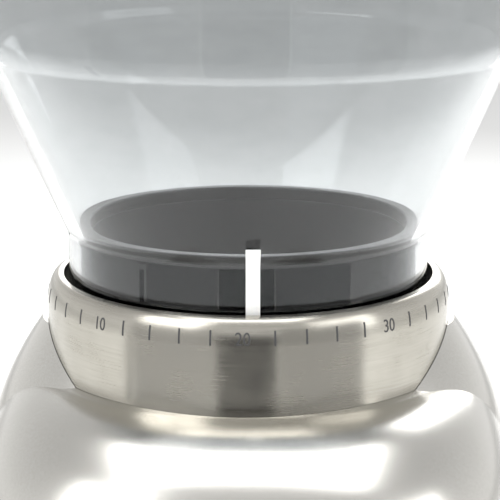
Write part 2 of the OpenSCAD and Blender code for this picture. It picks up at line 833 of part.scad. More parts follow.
module pulse_switch() {
    color("#303030") translate([-7, switch_front, button_z - 6])
        cube([14, chute_front - 0.3 - switch_front, 12]);
}

// ---------- grind adjustment and hopper ----------

lug_h = 6;
lug_angles = [30, 150, 270];
lug_half = 5;
lug_out = 0.95;
z_neck = z_seat + GAP + 3.7 + 0.5;

module adjustment_ring() {
    z0 = z_seat + GAP;
    z1 = z_rim - roll_h;
    r_in = neck_r + GAP;
    color("#242426") at_axis() difference() {
        union() {
            tube(collar_in - 0.1, r_in, z0, z1);
            tube(r_in + EPS, throat_r + 4, z0, z0 + 3.7);
        }
        for (a = lug_angles) rotate([0, 0, a - lug_half - 1.5]) translate([0, 0, z0 + 3.7])
            rotate_extrude(angle = 2 * lug_half + 3) translate([neck_r - 1, 0]) square([lug_out + 1.5, z1]);
    }
}

module hopper_bowl() {
    w = hopper_wall;
    color("#d8dcdc", 0.4) at_axis() union() {
        rotate_extrude() polygon([
            [neck_r - w, z_neck], [neck_r, z_neck], [neck_r, z_cone], [bowl_r, z_bowl],
            [bowl_r, z_bowl_top], [bowl_r - w, z_bowl_top], [bowl_r - w, z_bowl + cone_lean],
            [neck_r - w, z_cone + cone_lean]]);
        for (a = lug_angles) rotate([0, 0, a - lug_half]) translate([0, 0, z_neck])
            rotate_extrude(angle = 2 * lug_half) translate([neck_r - 0.5, 0]) square([lug_out + 0.5, lug_h]);
    }
}

seal_h = 3;
insert_r = neck_r - hopper_wall - 0.2;
insert_wall = 2.1;
notch_angles = [-5.5, 5.5, -120, 120] + [1, 1, 1, 1] * pointer_at;

module hopper_insert() {
    z0 = z_neck + 2;
    z_funnel = z_neck + 9;
    r_out = insert_r;
    r_in = insert_r - insert_wall;
    color("#1b1b1d") at_axis() difference() {
        union() {
            rotate_extrude() polygon([
                [r_out, z_funnel], [r_out, z_cone - 0.3], [r_in, z_cone - 0.3], [r_in, z_funnel],
                [throat_r + 3.5, z0 + 1.6], [throat_r + 3.5, z0], [throat_r + 5.5, z0]]);
            intersection() {
                tube(throat_r + 4.4, 0.5, z0, z0 + 2.4);
                union() {
                    for (a = [0, 60, 120]) rotate([0, 0, a])
                        translate([-40, -1.2, z0]) cube([80, 2.4, 2.4]);
                    translate([0, 0, z0]) cylinder(r = 6, h = 2.4);
                }
            }
        }
        for (a = notch_angles) rotate([0, 0, a - 90])
            translate([r_out - 1, -1.5, z_rim + 2.5]) cube([3, 3, 4.6]);
    }
}

module hopper_seal() {
    z0 = z_cone - 0.3;
    z1 = z0 + seal_h;
    color("#0c0c0c") at_axis() rotate_extrude() polygon([
        [insert_r - insert_wall, z0], [insert_r, z0], [insert_r, z_cone + cone_lean],
        [insert_r + (z1 - z_cone - cone_lean) * tan(cone_angle), z1], [insert_r - insert_wall, z1]]);
}

module grind_pointer() {
    half = asin(pointer_w / 2 / neck_r);
    z0 = z_rim - 2.5;
    z1 = z_cone + 4.5;
    out = (z1 - z_cone) * tan(cone_angle);
    t = 0.5;
    color("white") at_axis() rotate([0, 0, -90 + pointer_at - half]) rotate_extrude(angle = 2 * half)
        polygon([[neck_r + EPS, z0], [neck_r + t, z0], [neck_r + t, z_cone - 0.1],
            [neck_r + t + out, z1], [neck_r + out + EPS, z1], [neck_r + EPS, z_cone]]);
}

// ---------- lid ----------

plug_r = bowl_r - hopper_wall - 0.5;
plug_h = 7;

module lid() {
    z0 = z_bowl_top;
    z1 = z0 + lid_flange_t;
    color("#3a3a3c", 0.7) at_axis() rotate_extrude() polygon([
        [plug_r - 2.4, z0 - plug_h], [plug_r, z0 - plug_h], [plug_r, z0 - 4.5], [plug_r - 1, z0 - 4.5],
        [plug_r - 1, z0 - 2.5], [plug_r, z0 - 2.5], [plug_r, z0 + 0.05], [bowl_r, z0 + 0.05],
        [bowl_r, z1 - 1], [bowl_r - 1, z1], [plug_r - 4, z1 + 1], [16, z1 + lid_dome_h],
        [0, z1 + lid_dome_h], [0, z1 + lid_dome_h - 2.4], [15, z1 + lid_dome_h - 2.4],
        [plug_r - 2.4, z0]]);
}

module lid_seal() {
    z0 = z_bowl_top;
    color("#111111") at_axis() tube(plug_r + 0.2, plug_r - 1, z0 - 4.5, z0 - 2.5);
}

module lid_knob() {
    z0 = z_bowl_top + lid_flange_t + lid_dome_h;
    color("#1c1c1e") at_axis() rotate_extrude() polygon([
        [0, z0], [9, z0], [8, z0 + 3], [10.5, z0 + 6], [10.5, z0 + lid_knob_h - 1],
        [9.5, z0 + lid_knob_h], [0, z0 + lid_knob_h]]);
}

// ---------- grounds bin ----------

module grounds_bin() {
    lip = 2;
    color("#5a5c60", 0.5) difference() {
        union() {
            translate([0, 0, z_bin]) linear_extrude(bin_h) bin_outline(lip);
            translate([0, 0, z_bin + bin_h - 4]) linear_extrude(4) bin_outline(0);
        }
        translate([0, 0, z_bin + bin_floor_t]) linear_extrude(bin_h) bin_outline(lip + bin_wall);
    }
}

feet();
base_plate();
base_screws();
base_shell();
ballast_plate();
bin_mat();
rear_housing();
bay_panel();
cord_gland();
circuit_board();
thermal_cutout();
timer_body();
pulse_switch();
button_spring();
head_tray();
head_shell();
top_housing();
dial_collar();
gearbox_case();
gearbox_cover();
gearbox_screws();
lower_bearing();
upper_bearing();
intermediate_axle();
grind_chamber();
grounds_chute();
carrier_springs();
motor_can();
motor_end_caps();
motor_bushes();
motor_magnets();
carbon_brushes();
motor_damper();
adjustment_ring();
burr_carrier();
ring_burr();
hopper_bowl();
hopper_insert();
hopper_seal();
grind_pointer();
lid();
lid_knob();
lid_seal();
main_shaft();
main_gear();
paddle_wheel();
cone_burr();
burr_nut();
intermediate_gear();
rotor_shaft();
motor_pinion();
rotor_core();
rotor_windings();
commutator();
cooling_fan();
timer_knob();
timer_shaft();
pulse_button();
grounds_bin();
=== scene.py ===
"""Looks of a conical burr coffee grinder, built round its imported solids.

Sizes are in millimetres until they reach a mesh, which is in metres, +Z up, front towards -Y.
"""

from __future__ import annotations

import json
import logging
import math
from dataclasses import dataclass, field
from enum import Enum
from functools import cache
from typing import Callable, Sequence

import bpy
from mathutils import Matrix, Vector

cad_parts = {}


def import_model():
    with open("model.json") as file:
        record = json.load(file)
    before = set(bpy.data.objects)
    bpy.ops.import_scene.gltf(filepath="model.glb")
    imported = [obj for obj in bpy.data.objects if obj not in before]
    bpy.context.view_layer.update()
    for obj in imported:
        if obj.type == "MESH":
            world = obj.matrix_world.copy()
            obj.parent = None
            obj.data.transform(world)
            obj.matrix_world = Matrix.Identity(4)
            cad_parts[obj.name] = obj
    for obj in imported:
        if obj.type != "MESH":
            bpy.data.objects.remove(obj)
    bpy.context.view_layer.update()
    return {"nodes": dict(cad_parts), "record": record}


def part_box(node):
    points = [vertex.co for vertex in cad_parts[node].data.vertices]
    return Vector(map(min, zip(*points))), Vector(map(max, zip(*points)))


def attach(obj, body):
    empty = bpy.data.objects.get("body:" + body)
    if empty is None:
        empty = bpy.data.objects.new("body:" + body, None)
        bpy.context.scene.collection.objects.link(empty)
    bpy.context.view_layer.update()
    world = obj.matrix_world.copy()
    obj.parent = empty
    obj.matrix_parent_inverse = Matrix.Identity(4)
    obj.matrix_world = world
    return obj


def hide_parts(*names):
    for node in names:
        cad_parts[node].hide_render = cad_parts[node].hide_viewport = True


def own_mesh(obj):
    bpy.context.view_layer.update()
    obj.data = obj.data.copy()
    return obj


LOG = logging.getLogger("grinder")
MM = 0.001
WELD = 0.000002
TURN = 2 * math.pi
GRAIN_LOW, GRAIN_HIGH = 0.3, 0.7  # the noise's usual reach, spread to the whole range
COAT_ROUGH = 0.08
QUARTER_TURN = 0.25  # turns the brushed lines' gloss across them

Pair = tuple[float, float]
Triple = tuple[float, float, float]


# ---------- choices ----------


class Slot(Enum):
    """The record's material slots."""

    COLLAR = "brushed_collar"
    HOUSING = "polished_housing"
    HOPPER = "clear_hopper"
    SMOKED = "smoked_plastic"
    BLACK = "black_plastic"
    GLOSS = "gloss_black"
    GREY = "grey_plastic"
    WHITE = "white_plastic"
    NATURAL = "natural_plastic"
    RUBBER = "black_rubber"
    SEAL = "seal_rubber"
    BURR = "burr_steel"
    BRIGHT = "bright_steel"
    PLATED = "plated_steel"
    PAINT = "painted_base"
    IRON = "ballast_iron"
    BRONZE = "bronze"
    COPPER = "copper_wire"
    MAGNET = "magnet"
    CIRCUIT = "circuit_green"


class Body(Enum):
    """The bodies that move as one."""

    MAIN = "body"
    ADJUSTER = "adjuster"
    HOPPER = "hopper"
    LID = "lid"
    KNOB = "knob"
    BUTTON = "button"
    BIN = "bin"


class Way(Enum):
    """Unit directions for turned pieces: along the axis, then across it."""

    UP = ((0.0, 0.0, 1.0), (1.0, 0.0, 0.0))
    RIGHT = ((1.0, 0.0, 0.0), (0.0, 1.0, 0.0))
    FRONT = ((0.0, -1.0, 0.0), (1.0, 0.0, 0.0))
    BACK = ((0.0, 1.0, 0.0), (1.0, 0.0, 0.0))


# ---------- finishes ----------


def linear(code: str) -> tuple[float, float, float, float]:
    """Turns an sRGB hex colour into a linear one.

    Args:
        code: Six hex digits after a #.

    Returns:
        Red, green, blue and 1.
    """
    parts = [int(code[i : i + 2], 16) / 255 for i in (1, 3, 5)]
    levels = [p / 12.92 if p <= 0.04045 else ((p + 0.055) / 1.055) ** 2.4 for p in parts]
    return (*levels, 1.0)


def add_node(
    tree: bpy.types.NodeTree,
    kind: str,
    settings: dict[str | int, object] | None = None,
    links: dict[str | int, bpy.types.NodeSocket] | None = None,
) -> bpy.types.Node:
    """Adds a node.

    Args:
        tree: The node tree.
        kind: The node's type name.
        settings: Values for its properties or its inputs.
        links: Output sockets that feed its inputs.

    Returns:
        The node.
    """
    node = tree.nodes.new(kind)
    for key, value in (settings or {}).items():
        if isinstance(key, int) or key in node.inputs:
            node.inputs[key].default_value = value
        else:
            setattr(node, key, value)
    for key, socket in (links or {}).items():
        tree.links.new(socket, node.inputs[key])
    return node


@dataclass(frozen=True)
class Finish:
    """A surface finish with a grain that varies its colour, gloss and height.

    grain is the real size of the grain in mm along X, Y and Z, so a long thin grain is a brushed one.
    """

    name: str
    colour: str
    fleck: str
    rough: Pair
    grain: Triple
    height: float
    metallic: float = 0.0
    ior: float = 1.5
    coat: float = 0.0
    transmission: float = 0.0
    anisotropy: float = 0.0
    cloud: float = 25.0
    cloud_share: float = 0.5
    centre: Triple = (0.0, 0.0, 0.0)

    def make(self) -> bpy.types.Material:
        """Builds the material.

        Returns:
            The material, with a Principled shader driven by the grain and by slow clouds of wear.
        """
        material = bpy.data.materials.new(self.name)
        material.use_nodes = True
        tree = material.node_tree
        tree.nodes.clear()
        place = add_node(tree, "ShaderNodeTexCoord").outputs["Object"]
        scale = tuple(1 / (MM * size) for size in self.grain)
        grain_at = add_node(tree, "ShaderNodeMapping", {"Scale": scale}, {"Vector": place})
        grain = add_node(
            tree,
            "ShaderNodeTexNoise",
            {"Scale": 1.0, "Detail": 3.0, "Roughness": 0.6},
            {"Vector": grain_at.outputs["Vector"]},
        ).outputs["Fac"]
        cloud = add_node(
            tree, "ShaderNodeTexNoise", {"Scale": 1 / (MM * self.cloud), "Detail": 2.0}, {"Vector": place}
        ).outputs["Fac"]
        both = add_node(
            tree, "ShaderNodeMix", {"data_type": "FLOAT", 0: self.cloud_share}, {2: grain, 3: cloud}
        ).outputs[0]
        spread = add_node(
            tree, "ShaderNodeMapRange", {"From Min": GRAIN_LOW, "From Max": GRAIN_HIGH}, {"Value": both}
        ).outputs["Result"]
        colour = add_node(
            tree,
            "ShaderNodeMix",
            {"data_type": "RGBA", 6: linear(self.colour), 7: linear(self.fleck)},
            {0: spread},
        ).outputs[2]
        rough = add_node(
            tree,
            "ShaderNodeMapRange",
            {
                "From Min": GRAIN_LOW,
                "From Max": GRAIN_HIGH,
                "To Min": self.rough[0],
                "To Max": self.rough[1],
            },
            {"Value": both},
        ).outputs["Result"]
        bump = add_node(
            tree, "ShaderNodeBump", {"Strength": 1.0, "Distance": MM * self.height}, {"Height": grain}
        ).outputs["Normal"]
        shader = add_node(
            tree,
            "ShaderNodeBsdfPrincipled",
            {
                "Metallic": self.metallic,
                "IOR": self.ior,
                "Coat Weight": self.coat,
                "Coat Roughness": COAT_ROUGH,
                "Transmission Weight": self.transmission,
                "Anisotropic": self.anisotropy,
                "Anisotropic Rotation": QUARTER_TURN if self.anisotropy else 0.0,
            },
            {"Base Color": colour, "Roughness": rough, "Normal": bump},
        )
        if self.anisotropy:
            lines = add_node(tree, "ShaderNodeTangent", {"direction_type": "RADIAL", "axis": "Z"})
            tree.links.new(lines.outputs["Tangent"], shader.inputs["Tangent"])
        add_node(tree, "ShaderNodeOutputMaterial", {}, {"Surface": shader.outputs["BSDF"]})
        return material


# A grain finer than about 0.25 mm would not show, so the finest ones are drawn at that size.
FINISHES: dict[Slot, Finish] = {
    # Stainless steel turned on a belt: fine lines round the ring, soft streaks of gloss
    Slot.COLLAR: Finish(
        "brushed_stainless",
        "#C2BFB6",
        "#B2AEA4",
        (0.2, 0.3),
        (14, 14, 0.22),
        0.003,
        1.0,
        anisotropy=0.7,
        cloud=9,
    ),
    # Die-cast zinc with a satin nickel plating: even, with a soft mirror
    Slot.HOUSING: Finish(
        "satin_plated_casting", "#DCDAD5", "#CFCDC7", (0.2, 0.27), (0.5, 0.5, 0.5), 0.0012, 1.0, cloud=30
    ),
    # Injection-moulded SAN: water clear with a faint grey tint and hairline scratches
    Slot.HOPPER: Finish(
        "clear_san", "#E6E8E9", "#DEE1E2", (0.0, 0.03), (8, 8, 3), 0.001, ior=1.45, transmission=1.0
    ),
    # The same plastic with a smoke dye
    Slot.SMOKED: Finish(
        "smoked_san", "#6E7276", "#63676B", (0.02, 0.06), (8, 8, 3), 0.002, ior=1.52, transmission=0.92
    ),
    # ABS from a spark-eroded mould: a fine even pebble
    Slot.BLACK: Finish("textured_abs", "#1E1E20", "#28282A", (0.42, 0.56), (0.35, 0.35, 0.35), 0.03),
    # ABS from a polished mould: a clean gloss with faint wear
    Slot.GLOSS: Finish("gloss_abs", "#0B0B0C", "#111112", (0.16, 0.26), (1.5, 1.5, 1.5), 0.003, coat=0.1),
    Slot.GREY: Finish("grey_abs", "#8E8F8E", "#858686", (0.38, 0.5), (0.4, 0.4, 0.4), 0.02),
    # ABS pigmented white: slightly soft gloss
    Slot.WHITE: Finish("white_abs", "#F4F4F2", "#EAEAE8", (0.28, 0.36), (0.6, 0.6, 0.6), 0.006),
    # Unpigmented acetal, used for gears: waxy and off-white
    Slot.NATURAL: Finish("natural_acetal", "#E6E0CF", "#D9D2BE", (0.34, 0.46), (0.7, 0.7, 0.7), 0.012),
    # Nitrile rubber: dull, with a fine bloom
    Slot.RUBBER: Finish("nitrile_rubber", "#161617", "#232324", (0.68, 0.85), (0.5, 0.5, 0.5), 0.03),
    # Silicone rubber: smooth and a little glossy
    Slot.SEAL: Finish("silicone_rubber", "#050506", "#0A0A0B", (0.3, 0.42), (0.9, 0.9, 0.9), 0.004),
    # Hardened stainless steel, milled and stone-tumbled
    Slot.BURR: Finish("milled_steel", "#B3B2AE", "#9C9B97", (0.26, 0.42), (0.3, 0.3, 2.0), 0.008, 1.0),
    # Ground steel: fine lines round the shaft
    Slot.BRIGHT: Finish("ground_steel", "#CBCAC6", "#BDBCB8", (0.16, 0.28), (6, 6, 0.25), 0.003, 1.0),
    # Zinc-plated steel: cool with a faint spangle
    Slot.PLATED: Finish("zinc_plated_steel", "#B7BBBE", "#9EA4A8", (0.3, 0.46), (1.2, 1.2, 1.2), 0.006, 1.0),
    # Powder-coated sheet steel: a soft silver with orange peel
    Slot.PAINT: Finish("silver_powder_coat", "#B9B9B6", "#ADADAA", (0.34, 0.44), (0.9, 0.9, 0.9), 0.02, 0.35),
    # Grey cast iron, rough from the sand
    Slot.IRON: Finish("cast_iron", "#4A4A4B", "#38383A", (0.55, 0.75), (0.8, 0.8, 0.8), 0.08, 0.8),
    # Sintered bronze: warm, with open pores
    Slot.BRONZE: Finish("sintered_bronze", "#B08A55", "#94713F", (0.36, 0.5), (0.4, 0.4, 0.4), 0.02, 1.0),
    # Enamelled copper wire wound in rows
    Slot.COPPER: Finish("enamelled_copper", "#A4532C", "#7C3A1C", (0.2, 0.34), (3, 3, 0.5), 0.06, 0.9),
    # Sintered ferrite: dark grey and dull
    Slot.MAGNET: Finish("ferrite", "#2B2B2D", "#373739", (0.55, 0.7), (0.6, 0.6, 0.6), 0.02),
    # Glass-epoxy board under a green lacquer
    Slot.CIRCUIT: Finish("green_circuit_board", "#1F5A38", "#194A2E", (0.26, 0.4), (0.5, 0.5, 0.5), 0.008),
}
# Screen-printing ink on metal and on plastic: flat and slightly rough
DARK_INK = Finish("dark_print_ink", "#3B3B3C", "#454546", (0.45, 0.6), (0.4, 0.4, 0.4), 0.004)
WHITE_INK = Finish("white_print_ink", "#E9E9E6", "#DCDCD9", (0.45, 0.6), (0.4, 0.4, 0.4), 0.004)


@dataclass
class Palette:
    """The finishes in use, each made once."""

    made: dict[str, bpy.types.Material] = field(default_factory=dict)

    def get(self, finish: Finish) -> bpy.types.Material:
        """Gives a finish's material, making it the first time.

        Args:
            finish: The finish.

        Returns:
            Its material.
        """
        if finish.name not in self.made:
            self.made[finish.name] = finish.make()
        return self.made[finish.name]


PALETTE = Palette()


# ---------- modelling ----------


def deselect() -> None:
    """Leaves edit mode and selects nothing."""
    if bpy.context.object and bpy.context.object.mode == "EDIT":
        bpy.ops.object.mode_set(mode="OBJECT")
    bpy.ops.object.select_all(action="DESELECT")


def pick(*pieces: bpy.types.Object) -> None:
    """Selects these pieces only, the first one active.

    Args:
        *pieces: The pieces.
    """
    deselect()
    for piece in pieces:
        piece.select_set(True)
    bpy.context.view_layer.objects.active = pieces[0]


def blank(name: str) -> bpy.types.Object:
    """Starts an empty mesh at the origin and opens it for editing.

    Args:
        name: The piece's name.

    Returns:
        The object, in edit mode.
    """
    deselect()
    bpy.ops.object.add(type="MESH", location=(0, 0, 0))
    piece = bpy.context.object
    piece.name = name
    piece.data.name = name
    bpy.ops.object.mode_set(mode="EDIT")
    return piece


def draw_line(points: Sequence[Vector]) -> None:
    """Draws a line of edges in the open mesh: a plane drawn in to a point, then extruded on.

    Args:
        points: The line's points, in metres.
    """
    bpy.ops.mesh.select_all(action="DESELECT")
    bpy.ops.mesh.primitive_plane_add(size=MM, location=points[0])
    bpy.ops.mesh.merge(type="CENTER")
    for before, after in zip(points, points[1:]):
        bpy.ops.mesh.extrude_region_move(TRANSFORM_OT_translate={"value": after - before})


def close_up() -> None:
    """Welds the open mesh's doubles and turns its faces outwards."""
    bpy.ops.mesh.select_all(action="SELECT")
    bpy.ops.mesh.remove_doubles(threshold=WELD)
    bpy.ops.mesh.normals_make_consistent(inside=False)


def smooth(piece: bpy.types.Object, angle: float = 32.0) -> bpy.types.Object:
    """Leaves edit mode and shades the piece smooth, its wide faces flat.

    Args:
        piece: The piece.
        angle: The angle up to which it is shaded smooth, in degrees.

    Returns:
        The piece.
    """
    pick(piece)
    bpy.ops.object.shade_smooth_by_angle(angle=math.radians(angle))
    change = piece.modifiers.new("normals", "WEIGHTED_NORMAL")
    change.keep_sharp = True
    bpy.ops.object.modifier_apply(modifier=change.name)
    return piece


def rounded(corners: Sequence[Triple], closed: bool = True, steps: int = 5) -> list[Pair]:
    """Gives a line with its corners turned on arcs.

    Args:
        corners: Each corner's place across and up, and its arc's radius.
        closed: Whether the line comes back to its start.
        steps: Stretches on each arc.

    Returns:
        The line's points, with the first one again at the end if it is closed.
    """
    line: list[Vector] = []
    count = len(corners)
    for i, (across, up, radius) in enumerate(corners):
        here = Vector((across, up))
        if radius == 0 or (not closed and i in (0, count - 1)):
            line.append(here)
            continue
        back = (Vector(corners[i - 1][:2]) - here).normalized()
        on = (Vector(corners[(i + 1) % count][:2]) - here).normalized()
        half = back.angle(on) / 2
        centre = here + (back + on).normalized() * radius / math.sin(half)
        start = here + back * radius / math.tan(half) - centre
        stop = here + on * radius / math.tan(half) - centre
        line += [centre + start.slerp(stop, k / steps).normalized() * radius for k in range(steps + 1)]
    if closed:
        line.append(line[0])
    return [(p.x, p.y) for p in line]


def turned(
    name: str, line: Sequence[Pair], centre: Triple, way: Way = Way.UP, steps: int = 128, angle: float = 32.0
) -> bpy.types.Object:
    """Turns a line about an axis, as on a lathe.

    Args:
        name: The piece's name.
        line: Points of radius and height along the axis, in mm.
        centre: A point on the axis where the height is 0, in mm.
        way: The axis and the direction in which the line is drawn.
        steps: Stretches round the turn.
        angle: The angle up to which it is shaded smooth, in degrees.

    Returns:
        The piece.
    """
    along, side = (Vector(v) for v in way.value)
    origin = Vector(centre) * MM
    piece = blank(name)
    draw_line([origin + (side * r + along * h) * MM for r, h in line])
    bpy.ops.mesh.select_all(action="SELECT")
    bpy.ops.mesh.spin(steps=steps, angle=TURN, center=origin, axis=along)
    close_up()
    return smooth(piece, angle)


def wrapped(
    name: str, rows: int, columns: int, place: Callable[[float, int], Triple], angle: float = 32.0
) -> bpy.types.Object:
    """Extrudes a circle into rows and draws each row to its own outline.

    Args:
        name: The piece's name.
        rows: How many rings of points there are.
        columns: Points in each ring.
        place: Gives a point, in mm, from its turn from the front and its row.
        angle: The angle up to which it is shaded smooth, in degrees.

    Returns:
        The piece.
    """
    piece = blank(name)
    bpy.ops.mesh.primitive_circle_add(vertices=columns, radius=1.0)
    for _ in range(rows - 1):
        bpy.ops.mesh.extrude_region_move(TRANSFORM_OT_translate={"value": (0, 0, 1)})
    bpy.ops.object.mode_set(mode="OBJECT")
    for vertex in piece.data.vertices:
        turn = math.atan2(vertex.co.x, -vertex.co.y) % TURN
        vertex.co = Vector(place(turn, round(vertex.co.z))) * MM
    bpy.ops.object.mode_set(mode="EDIT")
    close_up()
    return smooth(piece, angle)


def block(name: str, low: Triple, high: Triple, edge: float = 0.0) -> bpy.types.Object:
    """Makes a block with its edges eased.

    Args:
        name: The piece's name.
        low: Its lowest corner, in mm.
        high: Its highest corner, in mm.
        edge: Width of the easing, in mm.

    Returns:
        The block.
    """
    size = Vector(high) - Vector(low)
    piece = blank(name)
    bpy.ops.mesh.primitive_cube_add(size=MM, location=(0, 0, 0))
    bpy.ops.transform.resize(value=size)
    bpy.ops.transform.translate(value=(Vector(low) + Vector(high)) / 2 * MM)
    if edge:
        bpy.ops.mesh.bevel(offset=edge * MM, segments=3)
    bpy.ops.mesh.normals_make_consistent(inside=False)
    return smooth(piece)


def combine(piece: bpy.types.Object, tool: bpy.types.Object, how: str = "DIFFERENCE") -> bpy.types.Object:
    """Applies a Boolean with another piece, which is used up.

    Args:
        piece: The piece that stays.
        tool: The piece that cuts or joins it.
        how: DIFFERENCE, UNION or INTERSECT.

    Returns:
        The piece.
    """
    pick(piece)
    change = piece.modifiers.new("shape", "BOOLEAN")
    change.operation = how
    change.solver = "EXACT"
    change.object = tool
    bpy.ops.object.modifier_apply(modifier=change.name)
    bpy.data.objects.remove(tool)
    return piece


def joined(name: str, pieces: Sequence[bpy.types.Object]) -> bpy.types.Object:
    """Joins copies into one named piece.

    Args:
        name: The piece's name.
        pieces: The copies, which are used up.

    Returns:
        The piece.
    """
    pick(*pieces)
    bpy.ops.object.join()
    piece = bpy.context.object
    piece.name = name
    piece.data.name = name
    return piece


def bent(piece: bpy.types.Object, place: Callable[[Vector], Vector]) -> bpy.types.Object:
    """Lays a flat piece on a surface, point by point.

    Args:
        piece: The flat piece.
        place: Gives a point's new place from its old one, in metres.

    Returns:
        The piece.
    """
    for vertex in piece.data.vertices:
        vertex.co = place(vertex.co)
    return piece


def placed(centre: Triple, turn: float, axis: str) -> Matrix:
    """Gives the transform that turns a piece about the origin and carries it to a place.

    Args:
        centre: The place, in mm.
        turn: The turn, in radians.
        axis: X, Y or Z.

    Returns:
        The transform.
    """
    return Matrix.Translation(Vector(centre) * MM) @ Matrix.Rotation(turn, 4, axis)


def polar(radius: float, turn: float, centre_y: float, z: float) -> Triple:
    """Gives a point from its turn about an upright axis.

    Args:
        radius: Its distance from the axis, in mm.
        turn: Its turn from the front, in radians.
        centre_y: Where the axis stands, in mm.
        z: Its height, in mm.

    Returns:
        The point in mm.
    """
    return (radius * math.sin(turn), centre_y - radius * math.cos(turn), z)


def strip(name: str, wide: float, high: float, thick: float, cuts: int) -> bpy.types.Object:
    """Makes a thin upright plate at the origin, cut across so that it can follow a curve.

    Args:
        name: The piece's name.
        wide: Its width, in mm.
        high: Its height, in mm.
        thick: Its thickness, in mm.
        cuts: How many rows it has.

    Returns:
        The plate, lying in X and Y with its face up.
    """
    piece = blank(name)
    bpy.ops.mesh.primitive_grid_add(x_subdivisions=1, y_subdivisions=cuts, size=MM)
    bpy.ops.transform.resize(value=(wide, high, 1))
    bpy.ops.mesh.extrude_region_move(TRANSFORM_OT_translate={"value": (0, 0, thick * MM)})
    bpy.ops.mesh.select_all(action="SELECT")
    bpy.ops.mesh.normals_make_consistent(inside=False)
    deselect()
    return piece


def lettered(name: str, text: str, high: float, thick: float, cuts: int) -> bpy.types.Object:
    """Makes a number as a thin plate at the origin, cut across so that it can follow a curve.

    Args:
        name: The piece's name.
        text: The digits.
        high: The digits' height, in mm.
        thick: Their thickness, in mm.
        cuts: How many times they are cut across.

    Returns:
        The number, lying in X and Y with its face up.
    """
    digit_share = 0.73  # a digit's height as a share of the built-in font's size
    condensed = 0.86
    deselect()
    bpy.ops.object.text_add(location=(0, 0, 0))
    words = bpy.context.object
    words.data.body = text
    words.data.size = high / digit_share * MM
    words.data.align_x = "CENTER"
    words.data.extrude = thick / 2 * MM
    bpy.ops.object.convert(target="MESH")
    piece = bpy.context.object
    piece.name = name
    bpy.ops.object.mode_set(mode="EDIT")
    bpy.ops.mesh.select_all(action="SELECT")
    bpy.ops.transform.resize(value=(condensed, 1, 1), center_override=(0, 0, 0))
    bpy.ops.transform.translate(value=(0, -high / 2 * MM, thick / 2 * MM))
    for k in range(1, cuts + 1):
        bpy.ops.mesh.select_all(action="SELECT")
        level = high * (k / (cuts + 1) - 0.5) * MM
        bpy.ops.mesh.bisect(plane_co=(0, level, 0), plane_no=(0, 1, 0))
    close_up()
    deselect()
    return piece


def settle(
    piece: bpy.types.Object, body: Body, slot: Slot, *nodes: str, finish: Finish | None = None
) -> bpy.types.Object:
    """Dresses a finished piece and hangs it on its body.

    Args:
        piece: The piece.
        body: The body that it moves with.
        slot: The record's slot for its finish.
        nodes: The solids that it stands for.
        finish: A finish other than the slot's own.

    Returns:
        The piece.
    """
    piece.data.materials.clear()
    piece.data.materials.append(PALETTE.get(finish or FINISHES[slot]))
    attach(piece, body.value)
    if nodes:
        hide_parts(*nodes)
    LOG.info("%s on %s: %d faces", piece.name, body.value, len(piece.data.polygons))
    return piece


# ---------- the frame's sizes ----------


@cache
def low(node: str) -> Vector:
    """Gives a solid's lowest corner.

    Args:
        node: The solid's node.

    Returns:
        The corner in mm.
    """
    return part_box(node)[0] / MM


@cache
def high(node: str) -> Vector:
    """Gives a solid's highest corner.

    Args:
        node: The solid's node.

    Returns:
        The corner in mm.
    """
    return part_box(node)[1] / MM


@dataclass
class Datum:
    """The places that the sub-assemblies share, in mm, read from the frame."""

    axis_y: float = 0.0
    half_w: float = 0.0
    front: float = 0.0
    back: float = 0.0
    squareness: float = 3.2

    @classmethod
    def read(cls) -> Datum:
        """Reads the grinding axis and the body's reach from it.

        Returns:
            The datum.
        """
        collar_low, collar_high = low("dial_collar"), high("dial_collar")
        axis_y = (collar_low.y + collar_high.y) / 2
        return cls(
            axis_y=axis_y,
            half_w=high("base_shell").x,
            front=axis_y - low("base_shell").y,
            back=high("base_shell").y - axis_y,
        )

    def on_axis(self, z: float = 0.0) -> Triple:
        """Gives a point on the grinding axis.

        Args:
            z: Its height, in mm.

        Returns:
            The point in mm.
        """
        return (0.0, self.axis_y, z)

    def outline(self, turn: float, across: float, front: float, back: float, squareness: float) -> float:
        """Radius of a rounded outline about the grinding axis.

        Args:
            turn: Turn from the front, in radians.
            across: Half-width.
            front: Reach forward.
            back: Reach backward.
            squareness: 2 is an ellipse, more is squarer.

        Returns:
            The radius in mm, which is 0 where the outline is drawn in to a point.
        """
        if across < MM:
            return 0.0
        reach = front if math.cos(turn) > 0 else back
        x = abs(math.sin(turn)) / across
        y = abs(math.cos(turn)) / reach
        return (x**squareness + y**squareness) ** (-1 / squareness)

    def body_point(self, turn: float, margin: float, z: float) -> Triple:
        """Gives a point of the body's outline.

        Args:
            turn: Turn from the front, in radians.
            margin: How far the outline is drawn in, in mm.
            z: The point's height, in mm.

        Returns:
            The point in mm.
        """
        radius = self.outline(
            turn, self.half_w - margin, self.front - margin, self.back - margin, self.squareness
        )
        return polar(radius, turn, self.axis_y, z)

    def shell(self, name: str, line: Sequence[Pair], columns: int = 144) -> bpy.types.Object:
        """Carries a section round the body's outline.

        Args:
            name: The piece's name.
            line: Points of margin from the outline and height, in mm.
            columns: Points round the outline.

        Returns:
            The piece.
        """
        return wrapped(name, len(line), columns, lambda turn, row: self.body_point(turn, *line[row]))


# ---------- sub-assemblies ----------


